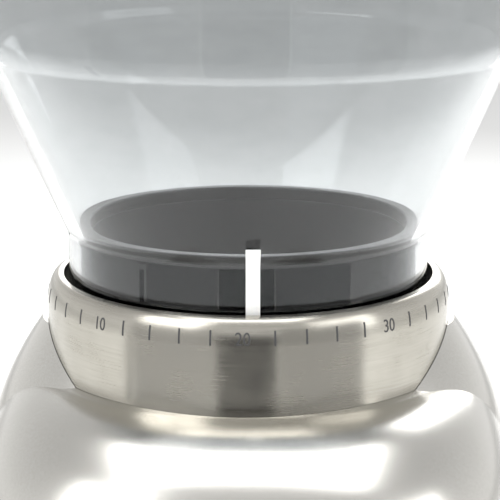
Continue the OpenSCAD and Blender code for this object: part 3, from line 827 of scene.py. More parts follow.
@dataclass
class Base:
    """The base shell, its plate, the feet, the mat and the cord gland."""

    datum: Datum
    wall: float = 3.0
    edge: float = 2.2
    foot_r: float = 8.0
    foot_x: float = 34.0
    foot_y: float = 54.0
    gland_r: float = 6.0

    def build(self) -> None:
        """Builds the base from the floor up."""
        self.shell()
        self.feet()
        self.mat()
        self.gland()

    def shell(self) -> None:
        """Builds the base's outer shell with an eased top edge and a shadow step at its foot."""
        z0, z1 = low("base_shell").z, high("base_shell").z
        middle = self.datum.half_w
        line = rounded(
            [
                (middle, z1, 0),
                (0, z1, self.edge),
                (0, z0 + 2.4, 0.6),
                (1.2, z0 + 2.0, 0.2),
                (1.2, z0, 0.3),
                (self.wall, z0, 0.3),
                (self.wall, z1 - self.wall, 1.0),
                (middle, z1 - self.wall, 0),
            ],
            closed=False,
        )
        piece = self.datum.shell("base_cover", line)
        settle(piece, Body.MAIN, Slot.PAINT, "base_shell")

    def feet(self) -> None:
        """Builds four rubber feet with a soft lower edge."""
        z1 = high("feet").z
        z_top = low("base_plate").z
        line = rounded(
            [
                (0, 0.5, 0),
                (4.5, 0.5, 0.4),
                (5.2, 0, 0.3),
                (self.foot_r - 0.2, 0, 1.0),
                (self.foot_r, z_top, 0.4),
                (3, z_top, 0),
                (3, z1, 0),
                (0, z1, 0),
            ],
            closed=False,
            steps=4,
        )
        pieces = [
            turned("foot", line, (sx * self.foot_x, sy * self.foot_y, 0), steps=48)
            for sx in (-1, 1)
            for sy in (-1, 1)
        ]
        settle(joined("rubber_feet", pieces), Body.MAIN, Slot.RUBBER, "feet")

    def mat(self) -> None:
        """Builds the rubber mat that the bin stands on, with a raised rim and a ribbed field."""
        lo, hi = low("bin_mat"), high("bin_mat")
        centre = (lo + hi) / 2
        across, along = (hi.x - lo.x) / 2, (hi.y - lo.y) / 2
        ribs = 9
        field, crest = hi.z - 0.5, hi.z - 0.2
        line: list[Pair] = [(across, field)]
        for k in range(ribs, 0, -1):
            edge = across * (1 - k / (ribs + 1)) + 2
            line += [(edge + 1.4, field), (edge + 1.0, crest), (edge - 1.0, crest), (edge - 1.4, field)]
        line = sorted(set(line), key=lambda point: -point[0])
        line = [point for point in line if point[0] > 3.2]
        line += [(2.2, field), (1.6, hi.z), (0.5, hi.z), (0, hi.z - 0.4), (0, lo.z), (across, lo.z)]

        def place(turn: float, row: int) -> Triple:
            """Gives a point of the mat.

            Args:
                turn: Turn from the front, in radians.
                row: Which point of the section it is.

            Returns:
                The point in mm.
            """
            margin, z = line[row]
            scale = max(0.0, 1 - margin / across)
            radius = self.datum.outline(turn, across, along, along, 3.5) * scale
            return polar(radius, turn, centre.y, z)

        piece = wrapped("rubber_mat", len(line), 96, place)
        settle(piece, Body.MAIN, Slot.RUBBER, "bin_mat")

    def gland(self) -> None:
        """Builds the cord gland with an outer collar."""
        lo, hi = low("cord_gland"), high("cord_gland")
        hole = 3.4
        depth = hi.y - lo.y
        reach = (hi.x - lo.x) / 2
        line = rounded(
            [
                (hole, 0, 0.2),
                (reach, 0, 0.2),
                (reach, 3.4, 0.5),
                (self.gland_r, 3.4, 0.2),
                (self.gland_r, depth, 0.7),
                (hole + 1, depth, 0.4),
                (hole, depth - 2, 0.2),
            ],
            steps=3,
        )
        centre = (0, lo.y, (lo.z + hi.z) / 2)
        piece = turned("cord_grommet", line, centre, Way.BACK, steps=64)
        settle(piece, Body.MAIN, Slot.RUBBER, "cord_gland")


@dataclass
class Column:
    """The housing behind the bin, its bay panel and the timer's dial."""

    datum: Datum
    half_w: float = 52.0
    stretches: int = 24
    long_side: float = 50.0
    vent_count: int = 9
    vent_pitch: float = 5.2
    vent_wide: float = 46.0
    vent_lift: float = 18.0
    flute_count: int = 11
    grip_count: int = 36
    mark_count: int = 13
    mark_span: float = 300.0

    def build(self) -> None:
        """Builds the column and what is printed on it."""
        self.housing()
        self.panel()
        self.timer()

    def point(self, turn: float, margin: float, z: float) -> Triple:
        """A point of the column's outline, which has a flat front.

        Args:
            turn: Turn from the front, in radians.
            margin: How far the outline is drawn in, in mm.
            z: The point's height, in mm.

        Returns:
            The point in mm.
        """
        d = self.datum
        half, back = self.half_w - margin, d.back - margin
        depth = low("rear_housing").y + margin - d.axis_y
        corner_x = half * (1 - (depth / back) ** d.squareness) ** (1 / d.squareness)
        corner = math.pi - math.atan2(corner_x, depth)
        away = min(turn, TURN - turn)
        if away < corner:
            side = 1 if turn <= math.pi else -1
            return (side * corner_x * away / corner, d.axis_y + depth, z)
        radius = d.outline(turn, half, d.front, back, d.squareness)
        return polar(radius, turn, d.axis_y, z)

    def housing(self) -> None:
        """Builds the rear housing with eased edges, sunk vents and the timer's boss."""
        lo, hi = low("rear_housing"), high("rear_housing")
        section = rounded(
            [
                (self.half_w, hi.z, 0),
                (0.0, hi.z, 0.5),
                (0.0, lo.z, 0.5),
                (self.half_w, lo.z, 0),
            ],
            closed=False,
            steps=3,
        )
        rows = [section[0]]
        for before, after in zip(section, section[1:]):
            parts = self.stretches if abs(after[1] - before[1]) > self.long_side else 1
            across, up = after[0] - before[0], after[1] - before[1]
            rows += [
                (before[0] + across * k / parts, before[1] + up * k / parts) for k in range(1, parts + 1)
            ]
        middle_y = (lo.y + hi.y) / 2

        def place(turn: float, row: int) -> Triple:
            """Gives a point of the column.

            Args:
                turn: Turn from the front, in radians.
                row: Which point of the section it is.

            Returns:
                The point in mm.
            """
            margin, z = rows[row]
            if margin > self.half_w - 1:
                return (0.0, middle_y, z)
            return self.point(turn, margin, z)

        piece = wrapped("column_cover", len(rows), 192, place)
        centre_z = (lo.z + hi.z) / 2 + self.vent_lift
        slots = []
        for k in range(self.vent_count):
            z = centre_z + (k - (self.vent_count - 1) / 2) * self.vent_pitch
            half = self.vent_wide / 2
            slots.append(block("vent", (-half, hi.y - 2.2, z - 1.1), (half, hi.y + 4, z + 1.1), 0.7))
        combine(piece, joined("vents", slots))
        knob_lo, knob_hi = low("timer_knob"), high("timer_knob")
        centre = (0.0, (knob_lo.y + knob_hi.y) / 2, (knob_lo.z + knob_hi.z) / 2)
        reach = (knob_hi.z - knob_lo.z) / 2 + 3
        root, face = self.half_w - 8, self.half_w
        line = rounded([(0, root, 0), (reach, root, 0), (reach, face, 0.6), (0, face, 0)], closed=False)
        combine(piece, turned("boss", line, centre, Way.RIGHT, steps=96), "UNION")
        smooth(piece)
        settle(piece, Body.MAIN, Slot.BLACK, "rear_housing")

    def panel(self) -> None:
        """Builds the panel behind the bin, with a row of shallow upright flutes."""
        lo, hi = low("bay_panel"), high("bay_panel")
        piece = block("bay_liner", tuple(lo), (hi.x, hi.y, hi.z), 0.5)
        grooves = []
        pitch = (hi.x - lo.x - 14) / (self.flute_count - 1)
        for k in range(self.flute_count):
            x = (k - (self.flute_count - 1) / 2) * pitch
            foot, top = (x - 1.2, lo.y - 1, lo.z + 6), (x + 1.2, lo.y + 0.6, hi.z - 6)
            grooves.append(block("flute", foot, top, 0.5))
        combine(piece, joined("flutes", grooves))
        smooth(piece)
        settle(piece, Body.MAIN, Slot.BLACK, "bay_panel")

    def timer(self) -> None:
        """Builds the timer knob, its pointer line and the dial's printed marks."""
        lo, hi = low("timer_knob"), high("timer_knob")
        centre = (0.0, (lo.y + hi.y) / 2, (lo.z + hi.z) / 2)
        reach = (hi.z - lo.z) / 2
        line = rounded(
            [
                (0, lo.x + 0.4, 0),
                (reach - 0.6, lo.x + 0.4, 0.3),
                (reach, lo.x + 1.2, 0.4),
                (reach - 0.5, hi.x, 1.3),
                (reach - 4.5, hi.x, 0.6),
                (reach - 5.2, hi.x - 0.8, 0.5),
                (0, hi.x - 0.8, 0),
            ],
            closed=False,
            steps=4,
        )
        knob = turned("timer_grip", line, centre, Way.RIGHT, steps=144)
        flute = rounded(
            [(0, lo.x - 1, 0), (0.75, lo.x - 1, 0), (0.75, hi.x - 2.2, 0.5), (0, hi.x - 1.6, 0)],
            closed=False,
            steps=3,
        )
        grips = []
        for k in range(self.grip_count):
            turn = TURN * k / self.grip_count
            y, z = (reach + 0.25) * math.cos(turn), (reach + 0.25) * math.sin(turn)
            grips.append(turned("grip", flute, (0.0, centre[1] + y, centre[2] + z), Way.RIGHT, steps=12))
        combine(knob, joined("grips", grips))
        smooth(knob)
        settle(knob, Body.KNOB, Slot.BLACK, "timer_knob")
        face = hi.x - 0.8
        mark = block(
            "timer_pointer",
            (face - 0.3, centre[1] - 0.5, centre[2] + 2.5),
            (face + 0.12, centre[1] + 0.5, centre[2] + reach - 5.6),
            0.08,
        )
        settle(mark, Body.KNOB, Slot.WHITE, finish=WHITE_INK)
        marks = []
        for k in range(self.mark_count):
            turn = math.radians(self.mark_span * k / (self.mark_count - 1))
            long = 1.5 if k % 3 == 0 else 0.9
            tick = block(
                "mark",
                (self.half_w - 0.05, centre[1] - 0.22, centre[2] + reach + 2.6 - long),
                (self.half_w + 0.04, centre[1] + 0.22, centre[2] + reach + 2.4),
            )
            tick.data.transform(placed(centre, turn, "X") @ Matrix.Translation(Vector(centre) * -MM))
            marks.append(tick)
        settle(joined("timer_marks", marks), Body.MAIN, Slot.WHITE, finish=WHITE_INK)


@dataclass
class Head:
    """The head: its tray, its shell, the pulse button and the polished housing on top."""

    datum: Datum
    wall: float = 2.0
    button_r: float = 8.0
    button_travel: float = 3.0
    columns: int = 240
    deck_drop: float = 21.5
    shoulder_drop: float = 11.0
    deck_h: float = 22.5
    shoulder_h: float = 32.0
    deck_bulge: float = 1.7
    shoulder_bulge: float = 1.9

    def build(self) -> None:
        """Builds the head from the tray up."""
        self.tray()
        self.shell()
        self.button()
        self.housing()

    def tray(self) -> None:
        """Builds the tray that closes the head from below, with the chute's opening."""
        lo, hi = low("head_tray"), high("head_tray")
        margin = self.wall + 0.1
        middle = self.datum.half_w
        line = [(middle, lo.z), (margin, lo.z), (margin, hi.z), (middle, hi.z)]
        piece = self.datum.shell("head_floor", line)
        chute_lo, chute_hi = low("grounds_chute"), high("grounds_chute")
        gap = 0.1
        cut = block(
            "opening",
            (chute_lo.x - gap, chute_lo.y - gap, lo.z - 1),
            (chute_hi.x + gap, chute_lo.y + 14.1, hi.z + 1),
        )
        combine(piece, cut)
        motor_lo, motor_hi = low("motor_can"), high("motor_can")
        centre = (0.0, (motor_lo.y + motor_hi.y) / 2, 0.0)
        reach = (motor_hi.x - motor_lo.x) / 2 + 1.5
        drill = turned("drill", [(0, lo.z - 1), (reach, lo.z - 1), (reach, hi.z + 1), (0, hi.z + 1)], centre)
        combine(piece, drill)
        smooth(piece)
        settle(piece, Body.MAIN, Slot.BLACK, "head_tray")

    def shell(self) -> None:
        """Builds the black band round the head, with a seam groove and the button's hole."""
        lo, hi = low("head_shell"), high("head_shell")
        line = rounded(
            [
                (0, lo.z, 1.6),
                (0, hi.z - 2.2, 0.2),
                (0.5, hi.z - 1.9, 0.1),
                (0.5, hi.z - 1.3, 0.1),
                (0, hi.z - 1.0, 0.2),
                (0, hi.z, 0.3),
                (self.wall, hi.z, 0.3),
                (self.wall, lo.z, 0.5),
            ],
            steps=4,
        )
        piece = self.datum.shell("head_band", line, columns=192)
        button_lo, button_hi = low("pulse_button"), high("pulse_button")
        centre = (0.0, 0.0, (button_lo.z + button_hi.z) / 2)
        reach = self.button_r + 0.3
        front = -low("head_shell").y
        bore = [(0, front - 8), (reach, front - 8), (reach, front + 2), (0, front + 2)]
        combine(piece, turned("drill", bore, centre, Way.FRONT))
        smooth(piece)
        settle(piece, Body.MAIN, Slot.BLACK, "head_shell")

    def button(self) -> None:
        """Builds the pulse button with a dished face and a turned rim."""
        lo, hi = low("pulse_button"), high("pulse_button")
        centre = (0.0, 0.0, (lo.z + hi.z) / 2)
        face = -lo.y
        reach = self.button_r
        line = rounded(
            [
                (0, face - 0.9, 0),
                (4.4, face - 0.6, 2.0),
                (reach - 1.6, face, 0.5),
                (reach, face, 0.7),
                (reach, face - 2.3, 0.1),
                (reach + 1.5, face - 2.3, 0.2),
                (reach + 1.5, face - 3.9, 0.2),
                (2.5, face - 3.9, 0.2),
                (2.5, -hi.y, 0.3),
                (0, -hi.y, 0),
            ],
            closed=False,
            steps=4,
        )
        piece = turned("button_cap", line, centre, Way.FRONT, steps=96)
        settle(piece, Body.BUTTON, Slot.GREY, "pulse_button")
        self.spring()

    def spring(self) -> None:
        """Copies the button's spring."""
        lo, hi = low("button_spring"), high("button_spring")
        pick(bpy.data.objects["button_spring"])
        bpy.ops.object.duplicate()
        piece = bpy.context.object
        piece.name = "return_spring"
        for key in list(piece.keys()):
            del piece[key]
        bpy.ops.object.mode_set(mode="EDIT")
        bpy.ops.mesh.select_all(action="SELECT")
        bpy.ops.mesh.remove_doubles(threshold=WELD)
        smooth(piece)
        settle(piece, Body.MAIN, Slot.BRIGHT, "button_spring")
        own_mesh(piece)

    def deck_radius(self, turn: float, z: float) -> float:
        """Gives the radius of the deck, which flares from the collar to the body's outline.

        Args:
            turn: Turn from the front, in radians.
            z: The height, in mm.

        Returns:
            The radius in mm.
        """
        d = self.datum
        drop = high("dial_collar").z - self.deck_drop - z
        u = (1 - (1 - min(1, max(0, drop / self.deck_h))) ** self.deck_bulge) ** (1 / self.deck_bulge)
        start = high("dial_collar").x + 1
        inside = 3 * min(0, drop)
        sizes = [start + (size - start) * u + inside for size in (d.half_w, d.front, d.back)]
        return d.outline(turn, *sizes, 2.2 + (d.squareness - 2.2) * u)

    def shoulder_radius(self, turn: float, z: float) -> float:
        """Gives the radius of the shoulders, which stand higher at the sides and the back.

        Args:
            turn: Turn from the front, in radians.
            z: The height, in mm.

        Returns:
            The radius in mm.
        """
        d = self.datum
        collar_r = high("dial_collar").x
        drop = min(1, max(0, (high("dial_collar").z - self.shoulder_drop - z) / self.shoulder_h))
        u = 1 - (1 - drop) ** self.shoulder_bulge
        across = collar_r + 1.5 + (d.half_w - collar_r - 1.5) * u
        front = collar_r - 18 + 22 * drop
        back = collar_r + 4 + (d.back - collar_r - 4) * u
        return d.outline(turn, across, front, back, 2 + 0.6 * u)

    def dome(self, name: str, radius: Callable[[float, float], float], top: float) -> bpy.types.Object:
        """Builds a closed dome from a radius rule.

        Args:
            name: The piece's name.
            radius: Gives the radius from the turn and the height.
            top: The height at which it is closed.

        Returns:
            The dome.
        """
        foot = low("top_housing").z
        levels = 56
        heights = [foot + (top - foot) * (1 - (1 - k / levels) ** 1.6) for k in range(levels + 1)]

        def place(turn: float, row: int) -> Triple:
            """Gives a point of the dome.

            Args:
                turn: Turn from the front, in radians.
                row: Which level it is on; the first and last rows are single points.

            Returns:
                The point in mm.
            """
            if row in (0, levels + 2):
                return self.datum.on_axis(heights[0] if row == 0 else top)
            z = heights[row - 1]
            return polar(radius(turn, z), turn, self.datum.axis_y, z)

        return wrapped(name, levels + 3, self.columns, place)

    def housing(self) -> None:
        """Builds the polished housing: deck and shoulders joined, hollowed and bored for the collar."""
        rim = high("dial_collar").z
        collar_r = high("dial_collar").x
        foot = low("top_housing").z
        piece = self.dome("polished_cover", self.deck_radius, rim - self.deck_drop + 1)
        shoulders = self.dome("shoulders", self.shoulder_radius, rim - self.shoulder_drop)
        combine(piece, shoulders, "UNION")
        inner = self.dome(
            "inner",
            lambda turn, z: self.deck_radius(turn, z + self.wall) - self.wall,
            rim - self.deck_drop - self.wall,
        )
        inner.data.transform(Matrix.Translation((0, 0, -0.5 * MM)))
        combine(piece, inner)
        reach = collar_r + 0.1
        bore = [(0, foot - 5), (reach, foot - 5), (reach, rim), (0, rim)]
        combine(piece, turned("drill", bore, self.datum.on_axis(), steps=256))
        smooth(piece, 9)
        settle(piece, Body.MAIN, Slot.HOUSING, "top_housing")


@dataclass
class Dial:
    """The collar with its printed scale, and the adjustment ring inside it."""

    datum: Datum
    wall: float = 1.8
    roll_h: float = 6.0
    roll_out: float = 2.6
    roll_in: float = 1.9
    last: int = 40
    step: int = 2
    degrees_each: float = 4.25
    middle: int = 20
    mark_drop: float = 4.1
    mark_high: float = 3.2
    mark_wide: float = 0.4
    digit_high: float = 2.9
    print_thick: float = 0.04

    def build(self) -> None:
        """Builds the collar, the scale and the adjustment ring."""
        self.collar()
        self.scale()
        self.adjuster()

    def section(self) -> list[Pair]:
        """Gives the collar's section: upright below, rolled inwards at the rim.

        Returns:
            Points of radius and height in mm.
        """
        z0, z1 = low("dial_collar").z, high("dial_collar").z
        r_out = high("dial_collar").x
        r_in = r_out - self.wall
        steps = 12
        arcs = [math.pi / 2 * k / steps for k in range(steps + 1)]
        rolls = [
            [(r - roll * (1 - math.cos(a)), z1 - self.roll_h * (1 - math.sin(a))) for a in arcs]
            for r, roll in ((r_out, self.roll_out), (r_in, self.roll_in))
        ]
        ease = 0.35
        return [(r_in, z0), (r_out - ease, z0), (r_out, z0 + ease), *rolls[0], *rolls[1][::-1], (r_in, z0)]

    def collar(self) -> None:
        """Builds the collar."""
        piece = turned("collar_ring", self.section(), self.datum.on_axis(), steps=256, angle=40)
        settle(piece, Body.MAIN, Slot.COLLAR, "dial_collar")

    def radius_at(self, z: float) -> float:
        """Gives the outer radius of the collar.

        Args:
            z: The height, in mm.

        Returns:
            The radius in mm.
        """
        lift = (z - high("dial_collar").z + self.roll_h) / self.roll_h
        return high("dial_collar").x - self.roll_out * (1 - math.sqrt(1 - min(1, max(0, lift)) ** 2))

    def laid(self, piece: bpy.types.Object, turn: float) -> bpy.types.Object:
        """Lays a flat mark on the collar.

        Args:
            piece: The mark, in X and Y about the origin.
            turn: Where its middle goes, in radians from the front.

        Returns:
            The mark.
        """
        level = high("dial_collar").z - self.mark_drop

        def place(at: Vector) -> Vector:
            """Moves a point of the flat mark on to the collar.

            Args:
                at: The point in metres.

            Returns:
                Its place on the collar, in metres.
            """
            z = level + at.y / MM
            radius = self.radius_at(z) + 0.01 + at.z / MM
            angle = turn + at.x / MM / high("dial_collar").x
            return Vector(polar(radius, angle, self.datum.axis_y, z)) * MM

        return bent(piece, place)

    def scale(self) -> None:
        """Prints the scale: a number at each ten and a line at the values between."""
        lines, numbers = [], []
        for value in range(0, self.last + 1, self.step):
            turn = math.radians((value - self.middle) * self.degrees_each)
            if value % 10:
                mark = strip("line", self.mark_wide, self.mark_high, self.print_thick, 8)
                lines.append(self.laid(mark, turn))
            else:
                mark = lettered("number", str(value), self.digit_high, self.print_thick, 5)
                numbers.append(self.laid(mark, turn))
        settle(joined("scale_lines", lines), Body.MAIN, Slot.COLLAR, finish=DARK_INK)
        settle(joined("scale_numbers", numbers), Body.MAIN, Slot.COLLAR, finish=DARK_INK)

    def adjuster(self) -> None:
        """Builds the ring that the hopper turns."""
        lo, hi = low("adjustment_ring"), high("adjustment_ring")
        reach = hi.x
        inner = reach - 2.8
        throat = 27.5
        line = rounded(
            [
                (throat, lo.z, 0.3),
                (reach, lo.z, 0.3),
                (reach, hi.z, 0.5),
                (inner, hi.z, 0.5),
                (inner, lo.z + 3.7, 0.5),
                (throat, lo.z + 3.7, 0.5),
            ],
            steps=3,
        )
        piece = turned("setting_ring", line, self.datum.on_axis(), steps=192)
        settle(piece, Body.ADJUSTER, Slot.BLACK, "adjustment_ring")


@dataclass
class Hopper:
    """The hopper with its insert, seal and pointer, and its lid."""

    datum: Datum
    wall: float = 2.5
    neck_r: float = 41.0
    cone_slope: float = 24.0
    neck_show: float = 9.8
    pointer_at: float = 2.8
    pointer_wide: float = 3.0
    notch_gap: float = 5.5
    notch_span: float = 114.5
    insert_wall: float = 2.1
    z_rim: float = field(init=False)
    z_cone: float = field(init=False)
    tan: float = field(init=False)
    lean: float = field(init=False)

    def __post_init__(self) -> None:
        """Works out where the cone starts, its slope, and how much higher its inner wall bends."""
        slope = math.radians(self.cone_slope)
        self.z_rim = high("dial_collar").z
        self.z_cone = self.z_rim + self.neck_show
        self.tan = math.tan(slope)
        self.lean = self.wall * (1 / math.cos(slope) - 1) / self.tan

    def build(self) -> None:
        """Builds the hopper and the lid."""
        self.bowl()
        self.insert()
        self.seal()
        self.pointer()
        self.lid()

    def bowl(self) -> None:
        """Builds the clear bowl: neck, cone and upper wall, with eased bends."""
        lo, hi = low("hopper_bowl"), high("hopper_bowl")
        bowl_r = hi.x
        z_bowl = self.z_cone + (bowl_r - self.neck_r) / self.tan
        line = rounded(
            [
                (self.neck_r - self.wall, lo.z, 0.4),
                (self.neck_r, lo.z, 0.4),
                (self.neck_r, self.z_cone, 3.0),
                (bowl_r, z_bowl, 12.0),
                (bowl_r, hi.z, 0.5),
                (bowl_r - self.wall, hi.z, 0.5),
                (bowl_r - self.wall, z_bowl + self.lean, 12.0 - self.wall),
                (self.neck_r - self.wall, self.z_cone + self.lean, 3.0 + self.wall),
            ],
            steps=8,
        )
        piece = turned("clear_bowl", line, self.datum.on_axis(), steps=256, angle=40)
        settle(piece, Body.HOPPER, Slot.HOPPER, "hopper_bowl")

    def insert(self) -> None:
        """Builds the black insert: a ring with a funnel, a finger guard and key notches."""
        lo, hi = low("hopper_insert"), high("hopper_insert")
        reach = hi.x
        inner = reach - self.insert_wall
        guard_r = 27.0
        bead = self.z_rim + 0.7
        line = rounded(
            [
                (reach, lo.z + 7, 0.6),
                (reach, bead - 0.9, 0.15),
                (reach - 0.5, bead - 0.5, 0.15),
                (reach - 0.5, bead, 0.15),
                (reach, bead + 0.4, 0.15),
                (reach, hi.z, 0.4),
                (inner, hi.z, 0.4),
                (inner, lo.z + 7, 2.0),
                (guard_r, lo.z + 1.6, 0.6),
                (guard_r, lo.z, 0.2),
                (guard_r + 2, lo.z, 0.4),
            ],
            steps=4,
        )
        piece = turned("hopper_key_ring", line, self.datum.on_axis(), steps=192)
        parts = []
        for k in range(3):
            bar = block("bar", (-guard_r - 0.8, -1.2, lo.z), (guard_r + 0.8, 1.2, lo.z + 2.4), 0.3)
            bar.data.transform(placed(self.datum.on_axis(), math.pi / 3 * k, "Z"))
            parts.append(bar)
        foot, top = lo.z - 0.01, lo.z + 2.41
        hub = rounded([(0, foot, 0), (6, foot, 0.3), (6, top, 0.3), (0, top, 0)], closed=False, steps=3)
        parts.append(turned("hub", hub, self.datum.on_axis(), steps=48))
        for part in parts:
            combine(piece, part, "UNION")
        for side in (-1, 1):
            for opposite in (0, self.notch_span):
                turn = math.radians(self.pointer_at + side * (self.notch_gap + opposite))
                foot, top = self.z_rim + 2.5, self.z_rim + 7.1
                cut = block("notch", (reach - 1, -1.5, foot), (reach + 2, 1.5, top), 0.3)
                cut.data.transform(placed(self.datum.on_axis(), turn - math.pi / 2, "Z"))
                combine(piece, cut)
        smooth(piece)
        settle(piece, Body.HOPPER, Slot.GLOSS, "hopper_insert")

    def seal(self) -> None:
        """Builds the seal band on top of the insert, which follows the cone's inner wall."""
        z0, z1 = low("hopper_seal").z, high("hopper_seal").z
        bend = self.z_cone + self.lean
        reach = self.neck_r - self.wall - 0.2
        inner = reach - self.insert_wall
        line = rounded(
            [
                (inner, z0, 0.2),
                (reach, z0, 0.1),
                (reach, bend, 0),
                (reach + (z1 - bend) * self.tan, z1, 0.3),
                (inner, z1, 0.6),
            ],
            steps=4,
        )
        piece = turned("seal_band", line, self.datum.on_axis(), steps=192)
        settle(piece, Body.HOPPER, Slot.SEAL, "hopper_seal")

    def pointer(self) -> None:
        """Builds the white pointer, a thin strip that follows the neck and the cone."""
        z0, z1 = low("grind_pointer").z, high("grind_pointer").z
        thick = 0.48
        piece = strip("white_pointer", self.pointer_wide, z1 - z0, thick, 24)

        def place(at: Vector) -> Vector:
            """Moves a point of the flat strip on to the neck and the cone.

            Args:
                at: The point in metres.

            Returns:
                Its place on the hopper, in metres.
            """
            z = z0 + (z1 - z0) / 2 + at.y / MM
            radius = self.neck_r + 0.02 + at.z / MM + max(0.0, z - self.z_cone) * self.tan
            angle = math.radians(self.pointer_at) + at.x / MM / self.neck_r
            return Vector(polar(radius, angle, self.datum.axis_y, z)) * MM

        bent(piece, place)
        smooth(piece)
        settle(piece, Body.HOPPER, Slot.WHITE, "grind_pointer")

    def lid(self) -> None:
        """Builds the lid with its plug, seal and knob."""
        lo, hi = low("lid"), high("lid")
        z0 = high("hopper_bowl").z
        z1 = z0 + 3
        bowl_r = hi.x
        plug_r = high("lid_seal").x - 0.2
        line = rounded(
            [
                (0, hi.z - 2.4, 0),
                (15, hi.z - 2.4, 3.0),
                (plug_r - 2.4, z0, 2.0),
                (plug_r - 2.4, lo.z, 0.5),
                (plug_r, lo.z, 0.5),
                (plug_r, z0 - 4.5, 0.2),
                (plug_r - 1, z0 - 4.5, 0.1),
                (plug_r - 1, z0 - 2.5, 0.1),
                (plug_r, z0 - 2.5, 0.2),
                (plug_r, z0 + 0.05, 0.2),
                (bowl_r, z0 + 0.05, 0.4),
                (bowl_r, z1, 1.2),
                (plug_r - 4, z1 + 0.6, 8.0),
                (16, hi.z, 30.0),
                (0, hi.z, 0),
            ],
            closed=False,
            steps=6,
        )
        piece = turned("smoked_lid", line, self.datum.on_axis(), steps=192)
        settle(piece, Body.LID, Slot.SMOKED, "lid")
        seal_lo, seal_hi = low("lid_seal"), high("lid_seal")
        bulge = rounded(
            [
                (plug_r - 1, seal_lo.z, 0.1),
                (seal_hi.x, seal_lo.z, 0.5),
                (seal_hi.x, seal_hi.z, 0.5),
                (plug_r - 1, seal_hi.z, 0.1),
            ],
            steps=4,
        )
        settle(turned("lid_gasket", bulge, self.datum.on_axis(), steps=128), Body.LID, Slot.SEAL, "lid_seal")
        knob_lo, knob_hi = low("lid_knob"), high("lid_knob")
        reach = knob_hi.x
        grip = rounded(
            [
                (0, knob_lo.z, 0),
                (9, knob_lo.z, 0.3),
                (8, knob_lo.z + 3, 2.0),
                (reach, knob_lo.z + 5.6, 1.0),
                (reach, knob_hi.z, 1.8),
                (4.5, knob_hi.z, 1.5),
                (2.5, knob_hi.z - 0.7, 1.5),
                (0, knob_hi.z - 0.8, 0),
            ],
            closed=False,
            steps=5,
        )
        settle(turned("lid_grip", grip, self.datum.on_axis(), steps=96), Body.LID, Slot.GLOSS, "lid_knob")


@dataclass
class Bin:
    """The grounds bin: a smoked box with a thick lip and level lines."""

    datum: Datum
    lip: float = 2.0
    wall: float = 2.2
    front: float = 36.0
    back: float = 32.0
    squareness: float = 3.5
    level_count: int = 4

    def build(self) -> None:
        """Builds the bin and its level lines."""
        lo, hi = low("grounds_bin"), high("grounds_bin")
        across = hi.x
        centre_y = lo.y + self.front
        lip, wall = self.lip, self.wall
        line = rounded(
            [
                (across, lo.z + 0.5, 0),
                (lip + 5.5, lo.z + 0.5, 0.3),
                (lip + 5.0, lo.z, 0.2),
                (lip, lo.z, 1.6),
                (lip, hi.z - 4, 0.6),
                (0, hi.z - 3.6, 0.5),
                (0, hi.z, 0.8),
                (lip + wall, hi.z, 0.8),
                (lip + wall, lo.z + 3, 3.0),
                (across, lo.z + 3, 0),
            ],
            closed=False,
            steps=5,
        )

        def point(turn: float, margin: float, z: float) -> Triple:
            """Gives a point of the bin's outline.

            Args:
                turn: Turn from the front, in radians.
                margin: How far the outline is drawn in, in mm.
                z: The point's height, in mm.

            Returns:
                The point in mm.
            """
            if margin > across - 1:
                return (0.0, centre_y, z)
            radius = self.datum.outline(
                turn, across - margin, self.front - margin, self.back - margin, self.squareness
            )
            return polar(radius, turn, centre_y, z)

        piece = wrapped("smoked_bin", len(line), 192, lambda turn, row: point(turn, *line[row]))
        settle(piece, Body.BIN, Slot.SMOKED, "grounds_bin")
        levels = []
        for k in range(self.level_count):
            z = lo.z + (hi.z - lo.z) * (k + 1) / (self.level_count + 1)
            tape = strip("level", 16.0, 0.7, 0.05, 1)
            pick(tape)
            bpy.ops.object.mode_set(mode="EDIT")
            bpy.ops.mesh.select_all(action="SELECT")
            bpy.ops.mesh.subdivide(number_cuts=12)
            bpy.ops.object.mode_set(mode="OBJECT")

            def place(at: Vector, level: float = z) -> Vector:
                """Moves a point of the flat tape on to the bin's front.

                Args:
                    at: The point in metres.
                    level: The tape's height, in mm.

                Returns:
                    Its place on the bin, in metres.
                """
                x = at.x / MM
                turn = math.atan2(x, self.front - self.lip)
                spot = Vector(point(turn, self.lip - 0.02 - at.z / MM, level + at.y / MM))
                return spot * MM

            levels.append(bent(tape, place))
        settle(joined("bin_levels", levels), Body.BIN, Slot.WHITE, finish=WHITE_INK)


# ---------- inside ----------


def dress_inside(frame: dict) -> None:
    """Gives every solid that still shows the finish of its slot.
    """
    slots = {part["node"]: Slot(part["material_slot"]) for part in frame["record"]["subparts"]}
    for name, node in frame["nodes"].items():
        material = PALETTE.get(FINISHES[slots[name]])
        node.data.materials.clear()
        node.data.materials.append(material)
        LOG.info("%s wears %s", name, material.name)


# ---------- studio ----------


